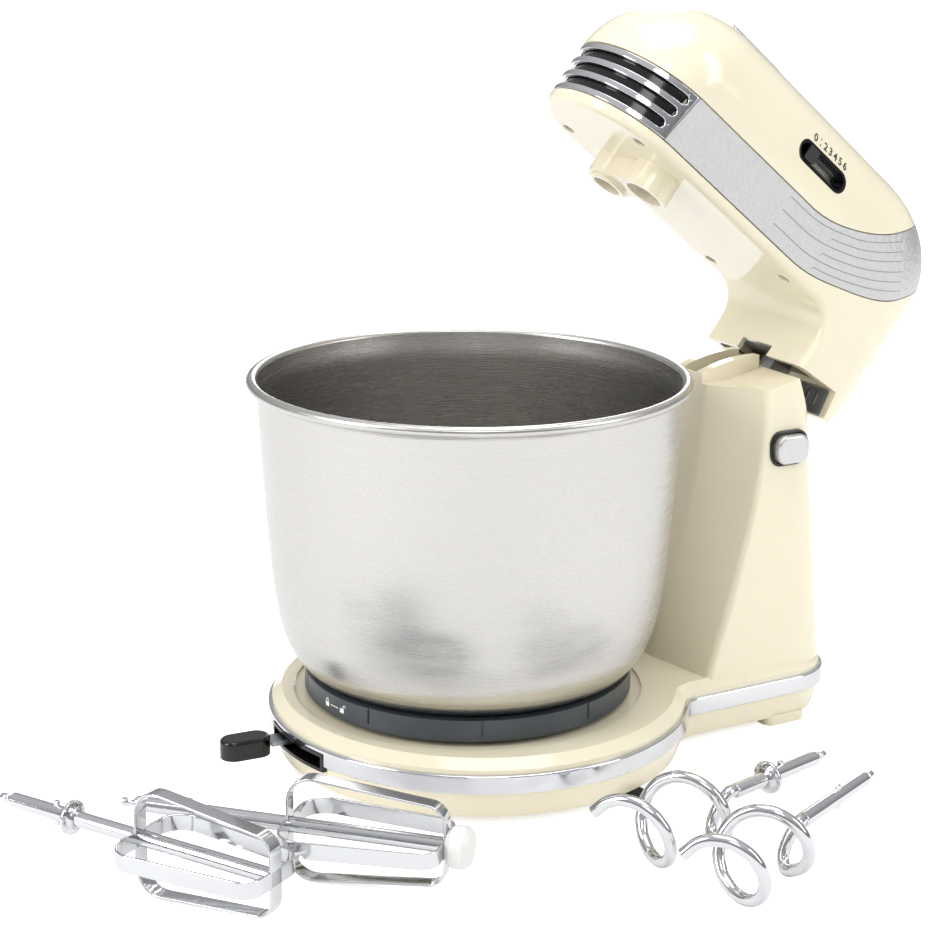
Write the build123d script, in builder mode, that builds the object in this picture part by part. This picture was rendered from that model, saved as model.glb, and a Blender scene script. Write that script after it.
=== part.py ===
from build123d import *
import math
import os

# Stand mixer with its head tilted up. The origin is on the floor under the bowl's axis.
# -Y is the front, +Y the column, +X the side with the speed slider and the release button.
# The head is drawn level, as it works, and turned up about the hinge when it is written.

# ---------------------------------------------------------------- driving dimensions (mm)
WALL = 2.5  # moulded cases
SEAM = 0.3  # gap between neighbouring mouldings
RUN = 0.05  # radial clearance of a turning fit
BAND_WALL = 2.0
BAND_GAP = 0.6  # shadow line above and below the band

BOWL_RIM_R = 97.5
BOWL_NECK_R = 93.0
BOWL_BELLY_R = 89.2
BOWL_FOOT_R = 66.0
BOWL_FLOOR_Z = 40.0
BOWL_TOP_Z = 174.2
BOWL_SHEET = 0.9
BEAD_R = 2.3

RING_R = 73.7
RING_Z = 31.6
RING_TOP_Z = 41.0
RING_RECESS_R = 68.5

BASE_CENTRE_Y = 6.0
BASE_R = 94.5
FOOT_HALF = 53.5
FOOT_REAR_Y = 174.0
FOOT_CORNER = 27.0
WAIST_R = 12.0
BASE_BOTTOM_Z = 4.0
TRIM_Z = 15.8
TRIM_TOP_Z = 24.2
BASE_TOP_Z = 30.0
TRIM_PROUD = 1.3

COLUMN_FOOT_HALF = 49.5
COLUMN_TOP_HALF = 38.5
COLUMN_TOP_Z = 162.6
DECK_Z = 158.6
CHEEK_GAP_HALF = 5.6
CHEEK_WALL = 4.6
CHEEK_FRONT_Y = 117.5
CHEEK_REAR_Y = 150.0

HINGE_Y = 147.0
HINGE_Z = 133.0
REST_TILT = 39.0
HINGE_PIN_R = 4.0

HEAD_HALF = 39.0
NOSE_Y = -31.7
NOSE_DEPTH = 36.0
HEAD_REAR_Y = 184.0
HEAD_CROWN_Z = 266.3
BROW_DEPTH = 50.0
NAPE_DEPTH = 49.0
BELLY_Z = 191.6
BAND_LOW_Z = 197.0
BAND_HIGH_Z = 221.0
NECK_HALF = 36.5
NECK_FRONT_Y = 129.7
NECK_BOTTOM_Z = 164.0
LIP_Z = 153.0
THROAT_R = 14.0
BELLY_ROUND = 4.0
TAIL_DEPTH = 37.0
CROWN_FULLNESS = 2.4
CROWN_STEPS = (0.0, 0.2, 0.4, 0.6, 0.75, 0.87, 0.95, 0.985, 0.997)

SOCKET_X = 14.7
SOCKET_Y = 21.2
SOCKET_MOUTH_Z = 180.0
SOCKET_BORE_R = 3.3
WIDE_MOUTH_R = 8.6
NARROW_MOUTH_R = 6.6
MOTOR_Z = 224.0
MOTOR_FRONT_Y = 62.0
MOTOR_LENGTH = 44.0
MOTOR_HALF = 23.0
WORM_R = 4.0
WHEEL_TEETH = 20
SHAFT_R = 3.0

BUTTON_Y = 145.0
BUTTON_Z = 131.5
BUTTON_LENGTH = 18.0
BUTTON_HEIGHT = 13.5
BUTTON_TRAVEL = 3.0

SPEED_Y = 78.0
SPEED_Z = 239.0
SPEED_LENGTH = 34.0
SPEED_WIDTH = 10.5
EJECT_Y = 34.0
EJECT_LENGTH = 38.0
EJECT_WIDTH = 15.0
EJECT_TRAVEL = 3.0

TOOL_SHAFT_R = 3.2
TOOL_LENGTH = 138.0
CAGE_LENGTH = 66.0
CAGE_HALF = 23.0
CAGE_FOOT_HALF = 16.5
SHOULDER_R = 11.0
FOOT_R = 8.0
BLADE_WIDTH = 7.0
BLADE_SHEET = 1.1
COLLAR_R = 7.2
HOOK_WIRE_R = 2.6
HOOK_COIL_R = 15.0

HINGE_AXIS = Axis((0, HINGE_Y, HINGE_Z), (1, 0, 0))

os.makedirs("parts", exist_ok=True)


def write(name, builder):
    """Labels a finished piece and writes it."""
    builder.part.label = name
    export_step(builder.part, f"parts/{name}.step")


def write_raised(name, builder):
    """Writes a piece of the head, turned up about the hinge as it stands at rest."""
    builder.part = builder.part.rotate(HINGE_AXIS, -REST_TILT)
    write(name, builder)


# ================================================================ bowl
def bowl_side(inset):
    """Edges of the bowl's wall from its floor to under the rim, moved in by the sheet."""
    floor = Line((0, BOWL_FLOOR_Z + inset), (BOWL_FOOT_R - 2, BOWL_FLOOR_Z + inset))
    heel = ThreePointArc(
        floor @ 1,
        (BOWL_BELLY_R - 12 - inset, BOWL_FLOOR_Z + 6.5 + inset),
        (BOWL_BELLY_R - 4.5 - inset, BOWL_FLOOR_Z + 26),
    )
    wall = ThreePointArc(
        heel @ 1,
        (BOWL_BELLY_R - inset, BOWL_FLOOR_Z + 62),
        (BOWL_NECK_R - inset, BOWL_TOP_Z - 2 * BEAD_R),
    )
    return wall @ 1


with BuildPart() as bowl:
    with BuildSketch(Plane.XZ) as wall_section:
        with BuildLine():
            outer_end = bowl_side(0)
            inner_end = bowl_side(BOWL_SHEET)
            Line(outer_end, inner_end)
            Line((0, BOWL_FLOOR_Z), (0, BOWL_FLOOR_Z + BOWL_SHEET))
        make_face()
        # rolled bead round the rim
        with BuildLine():
            Polyline(
                (BOWL_NECK_R - BOWL_SHEET, BOWL_TOP_Z - 2 * BEAD_R - 0.01),
                (BOWL_NECK_R, BOWL_TOP_Z - 2 * BEAD_R - 0.01),
                (BOWL_RIM_R - BEAD_R, BOWL_TOP_Z - 2 * BEAD_R + 0.8),
                (BOWL_RIM_R - BEAD_R, BOWL_TOP_Z - 0.6),
                (BOWL_NECK_R - BOWL_SHEET, BOWL_TOP_Z - 2 * BEAD_R + 1.4),
                close=True,
            )
        make_face()
        with Locations((BOWL_RIM_R - BEAD_R, BOWL_TOP_Z - BEAD_R)):
            Circle(BEAD_R)
    revolve(axis=Axis.Z)
write("bowl", bowl)

FOOT_TOP_Z = BOWL_FLOOR_Z - 0.02
with BuildPart() as bowl_foot:
    with BuildSketch(Plane.XY.offset(RING_Z + 4.2)):
        Circle(BOWL_FOOT_R)
        Circle(BOWL_FOOT_R - 1.5, mode=Mode.SUBTRACT)
    extrude(amount=FOOT_TOP_Z - RING_Z - 4.2)
    with BuildSketch(Plane.XY.offset(FOOT_TOP_Z - 1)):
        Circle(BOWL_FOOT_R)
        Circle(BOWL_FOOT_R - 8, mode=Mode.SUBTRACT)
    extrude(amount=1)
    # three lugs that turn under the ring's tabs
    with BuildSketch(Plane.XY.offset(RING_Z + 4.2)):
        with PolarLocations(BOWL_FOOT_R, 3, start_angle=90):
            Rectangle(3.0, 12)
        Circle(BOWL_FOOT_R - 1, mode=Mode.SUBTRACT)
    extrude(amount=1.6)
write("bowl_foot", bowl_foot)

# ================================================================ turntable under the bowl
POST_R = 6.0
with BuildPart() as turntable_ring:
    with BuildSketch(Plane.XY.offset(RING_Z)):
        Circle(RING_R)
    extrude(amount=RING_TOP_Z - RING_Z, taper=1.5)
    with BuildSketch(Plane.XY.offset(RING_Z + 4.0)):
        Circle(RING_RECESS_R)
    extrude(amount=RING_TOP_Z - RING_Z, mode=Mode.SUBTRACT)
    with BuildSketch(Plane.XY.offset(RING_Z)):
        Circle(POST_R + 2.0)
    extrude(amount=RING_TOP_Z - RING_Z, mode=Mode.SUBTRACT)
    # fine upright grooves round the outside
    with PolarLocations(RING_R, 9, start_angle=15):
        with Locations((0, 0, RING_TOP_Z - 3.5)):
            Box(1.6, 0.9, 7.2, mode=Mode.SUBTRACT)
write("turntable_ring", turntable_ring)

with BuildPart() as turntable_bush:
    with BuildSketch(Plane.XY.offset(RING_Z - 1.0)):
        Circle(POST_R + 2.0)
        Circle(POST_R + RUN, mode=Mode.SUBTRACT)
    extrude(amount=5.0)
write("turntable_bush", turntable_bush)

# ================================================================ carriage that shifts the bowl
PIVOT_Y = 62.0
PIVOT_R = 4.0
CARRIAGE_Z = 19.0
CARRIAGE_SHEET = 2.5
LEVER_ANGLE = -4.5
KNOB_Y = BASE_CENTRE_Y - BASE_R - 15.5
TOP_OPENING_R = 24.0

with BuildPart() as carriage_plate:
    with BuildSketch(Plane.XY.offset(CARRIAGE_Z)):
        with BuildLine():
            Polyline((-9, PIVOT_Y), (9, PIVOT_Y), (22, 0), (-22, 0), close=True)
        make_face()
        Circle(22)
        with Locations((0, PIVOT_Y)):
            Circle(9)
            Circle(PIVOT_R + RUN, mode=Mode.SUBTRACT)
        Circle(POST_R + 0.02, mode=Mode.SUBTRACT)
    extrude(amount=CARRIAGE_SHEET)
write("carriage_plate", carriage_plate)

with BuildPart() as turntable_post:
    with BuildSketch(Plane.XY.offset(CARRIAGE_Z - 2)):
        Circle(POST_R)
    extrude(amount=RING_Z + 4.0 - CARRIAGE_Z + 2)
    with BuildSketch(Plane.XY.offset(CARRIAGE_Z - 4)):
        Circle(POST_R + 4)
    extrude(amount=3.98)
    with BuildSketch(Plane.XY.offset(CARRIAGE_Z + CARRIAGE_SHEET + 0.02)):
        Circle(POST_R + 6)
    extrude(amount=RING_Z - 1.25 - CARRIAGE_Z - CARRIAGE_SHEET)
write("turntable_post", turntable_post)

ARM_Z = CARRIAGE_Z - 2.2
with BuildPart() as lever_arm:
    with BuildSketch(Plane.XY.offset(ARM_Z)):
        with Locations(Location((0, 0, 0), (0, 0, LEVER_ANGLE))):
            with Locations((0, KNOB_Y / 2 - 4)):
                Rectangle(9, -KNOB_Y - 24)
            with Locations((0, KNOB_Y + 2)):
                Rectangle(6, 18)
    extrude(amount=2.18)
write("lever_arm", lever_arm)

with BuildPart() as lever_knob:
    with BuildSketch(Plane.XY.offset(ARM_Z - 3.4)):
        with Locations(Location((0, 0, 0), (0, 0, LEVER_ANGLE))):
            with Locations((0, KNOB_Y - 3)):
                SlotCenterToCenter(10, 12.5, rotation=90)
    extrude(amount=8.6)
    fillet(lever_knob.edges().filter_by(GeomType.CIRCLE).group_by(Axis.Z)[-1], 1.6)
    # slot that the arm's tongue is pushed into
    with BuildSketch(Plane.XY.offset(ARM_Z - 0.05)):
        with Locations(Location((0, 0, 0), (0, 0, LEVER_ANGLE))):
            with Locations((0, KNOB_Y + 4.45)):
                Rectangle(6.1, 23.0)
    extrude(amount=2.28, mode=Mode.SUBTRACT)
write("lever_knob", lever_knob)

with BuildPart() as carriage_pivot:
    with BuildSketch(Plane.XY.offset(BASE_BOTTOM_Z + WALL + 0.02)):
        with Locations((0, PIVOT_Y)):
            Circle(PIVOT_R + 5)
    extrude(amount=CARRIAGE_Z - 0.3 - BASE_BOTTOM_Z - WALL)
    with BuildSketch(Plane.XY.offset(CARRIAGE_Z - 1)):
        with Locations((0, PIVOT_Y)):
            Circle(PIVOT_R)
    extrude(amount=5)
write("carriage_pivot", carriage_pivot)


# ================================================================ base
def base_plan(z, inset):
    """The base's outline at height z: a disc under the bowl that runs into the column's foot."""
    with BuildSketch(Plane.XY.offset(z)) as plan:
        with Locations((0, BASE_CENTRE_Y)):
            Circle(BASE_R - inset)
        foot_length = FOOT_REAR_Y - inset - BASE_CENTRE_Y
        with Locations((0, BASE_CENTRE_Y + foot_length / 2)):
            Rectangle(2 * (FOOT_HALF - inset), foot_length)
        rear = plan.vertices().filter_by(lambda v: v.Y > FOOT_REAR_Y - inset - 0.1)
        fillet(rear, FOOT_CORNER - inset)
        waist = plan.vertices().filter_by(
            lambda v: abs(abs(v.X) - FOOT_HALF + inset) < 0.01 and v.Y < FOOT_REAR_Y - FOOT_CORNER - 1
        )
        fillet(waist, WAIST_R + inset)
    return plan.sketch


def column_plan(z, inset):
    """The column's outline at height z: a shallow prow in front, square sides, round rear corners."""
    rise = (z - BASE_TOP_Z) / (COLUMN_TOP_Z - BASE_TOP_Z)
    half = COLUMN_FOOT_HALF + (COLUMN_TOP_HALF - COLUMN_FOOT_HALF) * rise - inset
    sweep = math.sin(math.radians(90) * min(max(rise, 0), 1))
    prow_y = 92.0 + 24.5 * sweep + inset
    corner_y = 98.0 + 35.0 * sweep + inset
    rear_y = 171.0 - 9.5 * rise - inset
    rear_r = 19.0 - 7.0 * rise - inset
    with BuildSketch(Plane.XY.offset(z)) as plan:
        with BuildLine():
            Polyline(
                (-13, prow_y),
                (13, prow_y),
                (half, corner_y),
                (half, rear_y),
                (-half, rear_y),
                (-half, corner_y),
                close=True,
            )
        make_face()
        fillet(plan.vertices().filter_by(lambda v: v.Y > rear_y - 0.1), rear_r)
        fillet(plan.vertices().filter_by(lambda v: v.Y < prow_y + 0.1), 8)
        fillet(plan.vertices().filter_by(lambda v: abs(v.Y - corner_y) < 0.1), 4)
    return plan.sketch


def column_form(inset, bottom_z, deck_drop):
    """The column as a solid, cut by the sloping deck and the chamfer behind it."""
    levels = [bottom_z, 60.0, 105.0, COLUMN_TOP_Z + 8]
    with BuildPart() as form:
        loft(sections=[column_plan(z, inset) for z in levels])
        with BuildSketch(Plane.YZ) as profile:
            with BuildLine():
                Polyline(
                    (60, 0),
                    (60, DECK_Z - deck_drop),
                    (133, DECK_Z - deck_drop),
                    (152 - 0.6 * deck_drop, COLUMN_TOP_Z - deck_drop),
                    (164.5 - deck_drop, 130.4),
                    (200, 130.4 - 40),
                    (200, 0),
                    close=True,
                )
            make_face()
        extrude(amount=80, both=True, mode=Mode.INTERSECT)
    return form.part


def button_hole(grow):
    """The opening for the release button, from outside the column's wall to its inside."""
    with BuildPart() as hole:
        with BuildSketch(Plane.YZ.offset(COLUMN_TOP_HALF - 6)):
            with Locations((BUTTON_Y, BUTTON_Z)):
                RectangleRounded(BUTTON_LENGTH + 2 * grow, BUTTON_HEIGHT + 2 * grow, 6)
        extrude(amount=14)
    return hole.part


BEZEL_WALL = 1.4
with BuildPart() as stand_shell:
    # flat top of the base, then its rounded shoulder
    extrude(base_plan(TRIM_TOP_Z, 0.6), amount=2.0)
    loft(sections=[base_plan(TRIM_TOP_Z + 2.0, 0.6), base_plan(BASE_TOP_Z, 5.0)])
    add(column_form(0, BASE_TOP_Z - 2, 0))
    extrude(base_plan(TRIM_TOP_Z - 0.1, WALL + 0.6), amount=2.2, mode=Mode.SUBTRACT)
    add(column_form(WALL, BASE_TOP_Z - 6, WALL), mode=Mode.SUBTRACT)
    # shallow dish round the turntable
    with BuildSketch(Plane.XY.offset(BASE_TOP_Z - 1.0)):
        Circle(RING_R + 5)
    extrude(amount=2, mode=Mode.SUBTRACT)
    with BuildSketch(Plane.XY.offset(TRIM_TOP_Z - 1)):
        Circle(TOP_OPENING_R)
    extrude(amount=12, mode=Mode.SUBTRACT)
    # cheeks with arched tops beside the hinge slot, and the wall across its front
    with BuildSketch(Plane.YZ) as cheek:
        with BuildLine():
            top = ThreePointArc((CHEEK_FRONT_Y, 163.0), (133, 167.2), (CHEEK_REAR_Y, 168.3))
            Polyline(
                top @ 1,
                (CHEEK_REAR_Y, DECK_Z - 8),
                (CHEEK_FRONT_Y, DECK_Z - 8),
                top @ 0,
            )
        make_face()
    extrude(amount=CHEEK_GAP_HALF + CHEEK_WALL, both=True)
    with BuildSketch(Plane.YZ) as slot:
        with BuildLine():
            Polyline(
                (CHEEK_FRONT_Y + WALL, 175),
                (CHEEK_FRONT_Y + WALL, DECK_Z - 12),
                (156, HINGE_Z + 4),
                (190, HINGE_Z + 4),
                (190, 175),
                close=True,
            )
        make_face()
    extrude(amount=CHEEK_GAP_HALF, both=True, mode=Mode.SUBTRACT)
    with BuildSketch(Plane.YZ):
        with Locations(((CHEEK_FRONT_Y + WALL / 2 + 0.4), 166.0)):
            Rectangle(WALL + 2, 8.0)
    extrude(amount=CHEEK_GAP_HALF, both=True, mode=Mode.SUBTRACT)
    add(button_hole(BEZEL_WALL + 0.1), mode=Mode.SUBTRACT)
    # inlet hole low in the column's back
    with BuildSketch(Plane.XZ.offset(-180)):
        with Locations((24, 46)):
            Circle(5.0)
    extrude(amount=20, mode=Mode.SUBTRACT)
write("stand_shell", stand_shell)

with BuildPart() as cord_grommet:
    with BuildSketch(Plane.XZ.offset(-173.5)):
        with Locations((24, 46)):
            Circle(7.0)
    extrude(amount=2.4)
    with BuildSketch(Plane.XZ.offset(-173.5)):
        with Locations((24, 46)):
            Circle(4.95)
    extrude(amount=8)
    add(stand_shell.part, mode=Mode.SUBTRACT)
    with BuildSketch(Plane.XZ.offset(-174)):
        with Locations((24, 46)):
            Circle(3.4)
    extrude(amount=12, mode=Mode.SUBTRACT)
write("cord_grommet", cord_grommet)

LINER_HALF = 21.0
LEVER_SLOT_Z = ARM_Z - 1.4
LEVER_SLOT_HEIGHT = 5.2


def lever_opening(grow):
    """The slot in the front of the base that the lever swings in."""
    with BuildPart() as opening:
        with BuildSketch(Plane.XZ.offset(BASE_R - BASE_CENTRE_Y - 28.5)):
            with Locations((4, LEVER_SLOT_Z + LEVER_SLOT_HEIGHT / 2)):
                Rectangle(2 * (LINER_HALF + grow), LEVER_SLOT_HEIGHT + 2 * grow)
        extrude(amount=40)
    return opening.part


with BuildPart() as base_trim:
    extrude(base_plan(TRIM_Z, -TRIM_PROUD), amount=TRIM_TOP_Z - TRIM_Z)
    fillet(base_trim.edges().filter_by(Plane.XY), 1.0)
    extrude(base_plan(TRIM_Z - 1, WALL), amount=12, mode=Mode.SUBTRACT)
    add(lever_opening(1.6), mode=Mode.SUBTRACT)
write("base_trim", base_trim)

with BuildPart() as base_lower_shell:
    loft(sections=[base_plan(BASE_BOTTOM_Z, 3.4), base_plan(TRIM_Z - 0.02, 0)])
    extrude(base_plan(BASE_BOTTOM_Z + WALL, WALL + 3.2), amount=20, mode=Mode.SUBTRACT)
    # two moulded feet carry the rear down to the floor
    with BuildSketch(Plane.XY):
        with Locations((-44, 144), (44, 144)):
            RectangleRounded(14, 22, 4)
    extrude(amount=BASE_BOTTOM_Z + 1)
    add(lever_opening(1.6), mode=Mode.SUBTRACT)
write("base_lower_shell", base_lower_shell)

with BuildPart() as lever_slot_liner:
    extrude(base_plan(0, -TRIM_PROUD - 0.4), amount=60)
    add(lever_opening(1.5), mode=Mode.INTERSECT)
    extrude(base_plan(0, 5.0), amount=60, mode=Mode.SUBTRACT)
    add(lever_opening(0), mode=Mode.SUBTRACT)
write("lever_slot_liner", lever_slot_liner)

with BuildPart() as base_weight:
    with BuildSketch(Plane.XY.offset(BASE_BOTTOM_Z + WALL)):
        with Locations((0, BASE_CENTRE_Y)):
            Circle(BASE_R - 14)
            Rectangle(60, 220, mode=Mode.SUBTRACT)
    extrude(amount=6)
write("base_weight", base_weight)

FRONT_FEET = [(-83.4, 31.5), (83.4, 31.5)]
with BuildPart() as front_feet:
    for x, y in FRONT_FEET:
        with BuildSketch(Plane.XZ) as cup:
            with BuildLine():
                Polyline((0, 0.8), (4, 0.6), (9.8, 0), (9.8, 1.0), (4.5, 3.95), (0, 3.95), close=True)
            make_face()
        with Locations((x, y, 0)):
            add(revolve(cup.sketch, axis=Axis.Z, mode=Mode.PRIVATE))
write("front_feet", front_feet)

# ================================================================ hinge, spring and release button
BRACKET_Z = 106.0
EAR_X = 9.2
EAR_SHEET = 2.5
with BuildPart() as hinge_bracket:
    extrude(column_plan(BRACKET_Z, WALL + 0.5), amount=2.5)
    with BuildSketch(Plane.XY.offset(BRACKET_Z)):
        with Locations((0, 120)):
            Rectangle(100, 24)
    extrude(amount=3, mode=Mode.SUBTRACT)
    with BuildSketch(Plane.YZ.offset(EAR_X)) as ear:
        with Locations((HINGE_Y, (BRACKET_Z + HINGE_Z) / 2)):
            Rectangle(18, HINGE_Z - BRACKET_Z)
        with Locations((HINGE_Y, HINGE_Z)):
            Circle(9)
            Circle(HINGE_PIN_R + 0.02, mode=Mode.SUBTRACT)
    extrude(amount=EAR_SHEET)
    mirror(extrude(ear.sketch, amount=EAR_SHEET, mode=Mode.PRIVATE), about=Plane.YZ)
write("hinge_bracket", hinge_bracket)

with BuildPart() as hinge_pin:
    with BuildSketch(Plane.YZ.offset(-EAR_X - EAR_SHEET - 1.5)):
        with Locations((HINGE_Y, HINGE_Z)):
            Circle(HINGE_PIN_R)
    extrude(amount=2 * (EAR_X + EAR_SHEET + 1.5))
write("hinge_pin", hinge_pin)

SPRING_WIRE_R = 0.8
with BuildPart() as tilt_spring:
    for x in (-7.9, -6.3, 6.3, 7.9):
        with Locations(Location((x, HINGE_Y, HINGE_Z), (0, 90, 0))):
            Torus(HINGE_PIN_R + 1.0, SPRING_WIRE_R)
write("tilt_spring", tilt_spring)

with BuildPart() as button_bezel:
    with BuildSketch(Plane.YZ.offset(COLUMN_TOP_HALF - 1.5)):
        with Locations((BUTTON_Y, BUTTON_Z)):
            RectangleRounded(BUTTON_LENGTH + 2 * BEZEL_WALL, BUTTON_HEIGHT + 2 * BEZEL_WALL, 6)
            RectangleRounded(BUTTON_LENGTH + 0.6, BUTTON_HEIGHT + 0.6, 5.5, mode=Mode.SUBTRACT)
    extrude(amount=5.2)
write("button_bezel", button_bezel)

BUTTON_FACE_X = COLUMN_TOP_HALF + 7.5
BUTTON_DEPTH = 10.0
STEM_GAP = BUTTON_TRAVEL + 2.0
with BuildPart() as release_button:
    with BuildSketch(Plane.YZ.offset(BUTTON_FACE_X - BUTTON_DEPTH)):
        with Locations((BUTTON_Y, BUTTON_Z)):
            RectangleRounded(BUTTON_LENGTH, BUTTON_HEIGHT, 5.2)
    extrude(amount=BUTTON_DEPTH)
    fillet(release_button.faces().sort_by(Axis.X)[-1].edges(), 1.5)
    with BuildSketch(Plane.YZ.offset(EAR_X + EAR_SHEET + STEM_GAP)):
        with Locations((BUTTON_Y, BUTTON_Z)):
            Circle(3)
    extrude(amount=BUTTON_FACE_X - BUTTON_DEPTH - EAR_X - EAR_SHEET - STEM_GAP)
write("release_button", release_button)

SPRING_TURNS = 6
SPRING_PITCH = 3.2
with BuildPart() as button_spring:
    spring_end = BUTTON_FACE_X - BUTTON_DEPTH - SEAM - 0.5
    for turn in range(SPRING_TURNS):
        with Locations(Location((spring_end - SPRING_PITCH * turn, BUTTON_Y, BUTTON_Z), (0, 90, 0))):
            Torus(4.0, 0.5)
    # wire that joins the turns
    span = SPRING_PITCH * (SPRING_TURNS - 1)
    with Locations((spring_end - span / 2, BUTTON_Y, BUTTON_Z + 4.0)):
        Box(span, 0.8, 0.8)
write("button_spring", button_spring)

with BuildPart() as stand_screws:
    for x, y in ((-36, 120), (36, 120), (-24, -50), (24, -50)):
        with Locations((x, y, BASE_BOTTOM_Z + WALL + 0.9)):
            Cylinder(3.2, 1.8)
write("stand_screws", stand_screws)


# ================================================================ head mouldings
def side_profile(inset):
    """The lower head seen from the side: nose, rear, lip behind the column, neck and belly."""
    floor_z = BELLY_Z + inset
    front_y = NOSE_Y + inset
    neck_y = NECK_FRONT_Y + inset
    # the lip is solid for a short way up, where its walls meet
    lip_rise = 3 * inset
    lip_back = (163.0 - inset + 0.25 * lip_rise, LIP_Z + lip_rise)
    lip_front = (158.3 + inset - 0.215 * lip_rise, LIP_Z + lip_rise)
    with BuildSketch(Plane.YZ) as side:
        with BuildLine():
            Polyline((front_y, floor_z), (front_y, BAND_HIGH_Z), (HEAD_REAR_Y - inset, BAND_HIGH_Z))
            ThreePointArc((HEAD_REAR_Y - inset, BAND_HIGH_Z), (175.5 - inset, 190), lip_back)
            Polyline(
                lip_back,
                lip_front,
                (155.5 + inset, NECK_BOTTOM_Z + 2 + inset),
                (neck_y, NECK_BOTTOM_Z + inset),
                (neck_y, floor_z),
                (front_y, floor_z),
            )
        make_face()
        throat = side.vertices().filter_by(
            lambda v: abs(v.X - neck_y) < 0.1 and abs(v.Y - floor_z) < 0.1
        )
        fillet(throat, THROAT_R + inset)
    return side.sketch


def head_plan(z, height_share, inset):
    """The head's outline from above, full size at the band and drawn in towards the crown."""
    full_half = HEAD_HALF - inset
    half = full_half * (1 - height_share**CROWN_FULLNESS) ** (1 / CROWN_FULLNESS)
    drawn_in = 1 - math.sqrt(1 - height_share**2)
    front_y = NOSE_Y + inset + (BROW_DEPTH - inset) * drawn_in
    rear_y = HEAD_REAR_Y - inset - (NAPE_DEPTH - inset) * drawn_in
    roundness = 0.35 + 0.65 * half / full_half
    nose = (NOSE_DEPTH - inset) * roundness
    tail = (TAIL_DEPTH - inset) * roundness
    with BuildSketch(Plane.XY.offset(z)) as plan:
        with BuildLine():
            EllipticalCenterArc((0, front_y + nose), half, nose, start_angle=180, arc_size=180)
            Line((half, front_y + nose), (half, rear_y - tail))
            EllipticalCenterArc((0, rear_y - tail), half, tail, start_angle=0, arc_size=180)
            Line((-half, rear_y - tail), (-half, front_y + nose))
        make_face()
    return plan.sketch


def head_form(inset):
    """The head's outer form, or the same form moved in all round."""
    with BuildPart() as form:
        extrude(side_profile(inset), amount=60, both=True)
        extrude(head_plan(LIP_Z - 10, 0, inset), amount=BAND_HIGH_Z - LIP_Z + 10, mode=Mode.INTERSECT)
        with BuildSketch(Plane.XZ.offset(60)):
            with BuildLine():
                half = HEAD_HALF - inset
                foot = NECK_HALF - inset
                Polyline(
                    (-half, BAND_HIGH_Z),
                    (-half, BAND_LOW_Z),
                    (-foot, LIP_Z - 5),
                    (foot, LIP_Z - 5),
                    (half, BAND_LOW_Z),
                    (half, BAND_HIGH_Z),
                    close=True,
                )
            make_face()
        extrude(amount=-280, mode=Mode.INTERSECT)
        if inset == 0:
            belly_rim = form.edges().filter_by(
                lambda e: abs(e.center().Z - BELLY_Z) < 0.01 and e.center().Y < NECK_FRONT_Y - THROAT_R - 1
            )
            fillet(belly_rim, BELLY_ROUND)
        rise = HEAD_CROWN_Z - inset - BAND_HIGH_Z
        loft(sections=[head_plan(BAND_HIGH_Z + share * rise, share, inset) for share in CROWN_STEPS])
    return form.part


def band_line(lift):
    """Points of an edge of the band: level along the side, then swept up round the rear."""
    low = BAND_LOW_Z + lift
    return [(90 - 0.3 * lift, low), (125 - 0.5 * lift, low + 7), (156 - 0.8 * lift, low + 22)]


def head_zone(edge, below):
    """All space below, or above, a band edge drawn in side view."""
    start, middle, end = edge
    with BuildPart() as zone:
        with BuildSketch(Plane.YZ):
            with BuildLine():
                Line((-60, start[1]), start)
                Spline(start, middle, end, tangents=((1, 0), (1, 0.95)))
                ramp = Line(end, (end[0] + 60, end[1] + 57))
                far_z = 100 if below else 380
                Polyline(ramp @ 1, (end[0] + 60, far_z), (-60, far_z), (-60, start[1]))
            make_face()
        extrude(amount=80, both=True)
    return zone.part


OUTER = head_form(0)
INNER = head_form(WALL)
BEHIND_BAND = head_form(BAND_WALL + 0.2)
BEHIND_INNER = head_form(BAND_WALL + 0.2 + 2.0)
LOW_EDGE = band_line(0)
HIGH_EDGE = band_line(BAND_HIGH_Z - BAND_LOW_Z)
BELOW_BAND = head_zone(LOW_EDGE, True)


def moved(edge, rise):
    return [(y, z + rise) for y, z in edge]


GRILLE_END_Y = 2.0
GRILLE_SLANT = 3.5


def grille_window(shrink):
    """The space behind the grille's slots, all round the nose."""
    low_z = BAND_LOW_Z + 2.4 + shrink
    high_z = BAND_HIGH_Z - 1.6 - shrink
    with BuildPart() as window:
        with BuildSketch(Plane.YZ):
            with BuildLine():
                Polyline(
                    (-60, low_z),
                    (GRILLE_END_Y - 6 - shrink, low_z),
                    (GRILLE_END_Y - 3 - shrink, high_z),
                    (-60, high_z),
                    close=True,
                )
            make_face()
        extrude(amount=HEAD_HALF - 0.5, both=True)
    return window.part


with BuildPart() as upper_cover:
    add(OUTER)
    add(INNER, mode=Mode.SUBTRACT)
    add(head_zone(moved(HIGH_EDGE, BAND_GAP), False), mode=Mode.INTERSECT)
    # slot for the speed slider's bezel, and the well for the eject button
    with BuildSketch(Plane.YZ.offset(20)):
        with Locations((SPEED_Y, SPEED_Z)):
            SlotOverall(SPEED_LENGTH + 0.2, SPEED_WIDTH + 0.2)
    extrude(amount=30, mode=Mode.SUBTRACT)
    with BuildSketch(Plane.XY.offset(250)):
        with Locations((0, EJECT_Y)):
            RectangleRounded(EJECT_WIDTH + 3.2, EJECT_LENGTH + 3.2, 5)
    extrude(amount=30, mode=Mode.SUBTRACT)
write_raised("upper_cover", upper_cover)

FLANGE_Z = 172.5


def flank_half(z):
    """Half width of the head's tapering flanks at a height below the band."""
    taper_z = LIP_Z - 5
    return NECK_HALF + (HEAD_HALF - NECK_HALF) * (z - taper_z) / (BAND_LOW_Z - taper_z)


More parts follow.
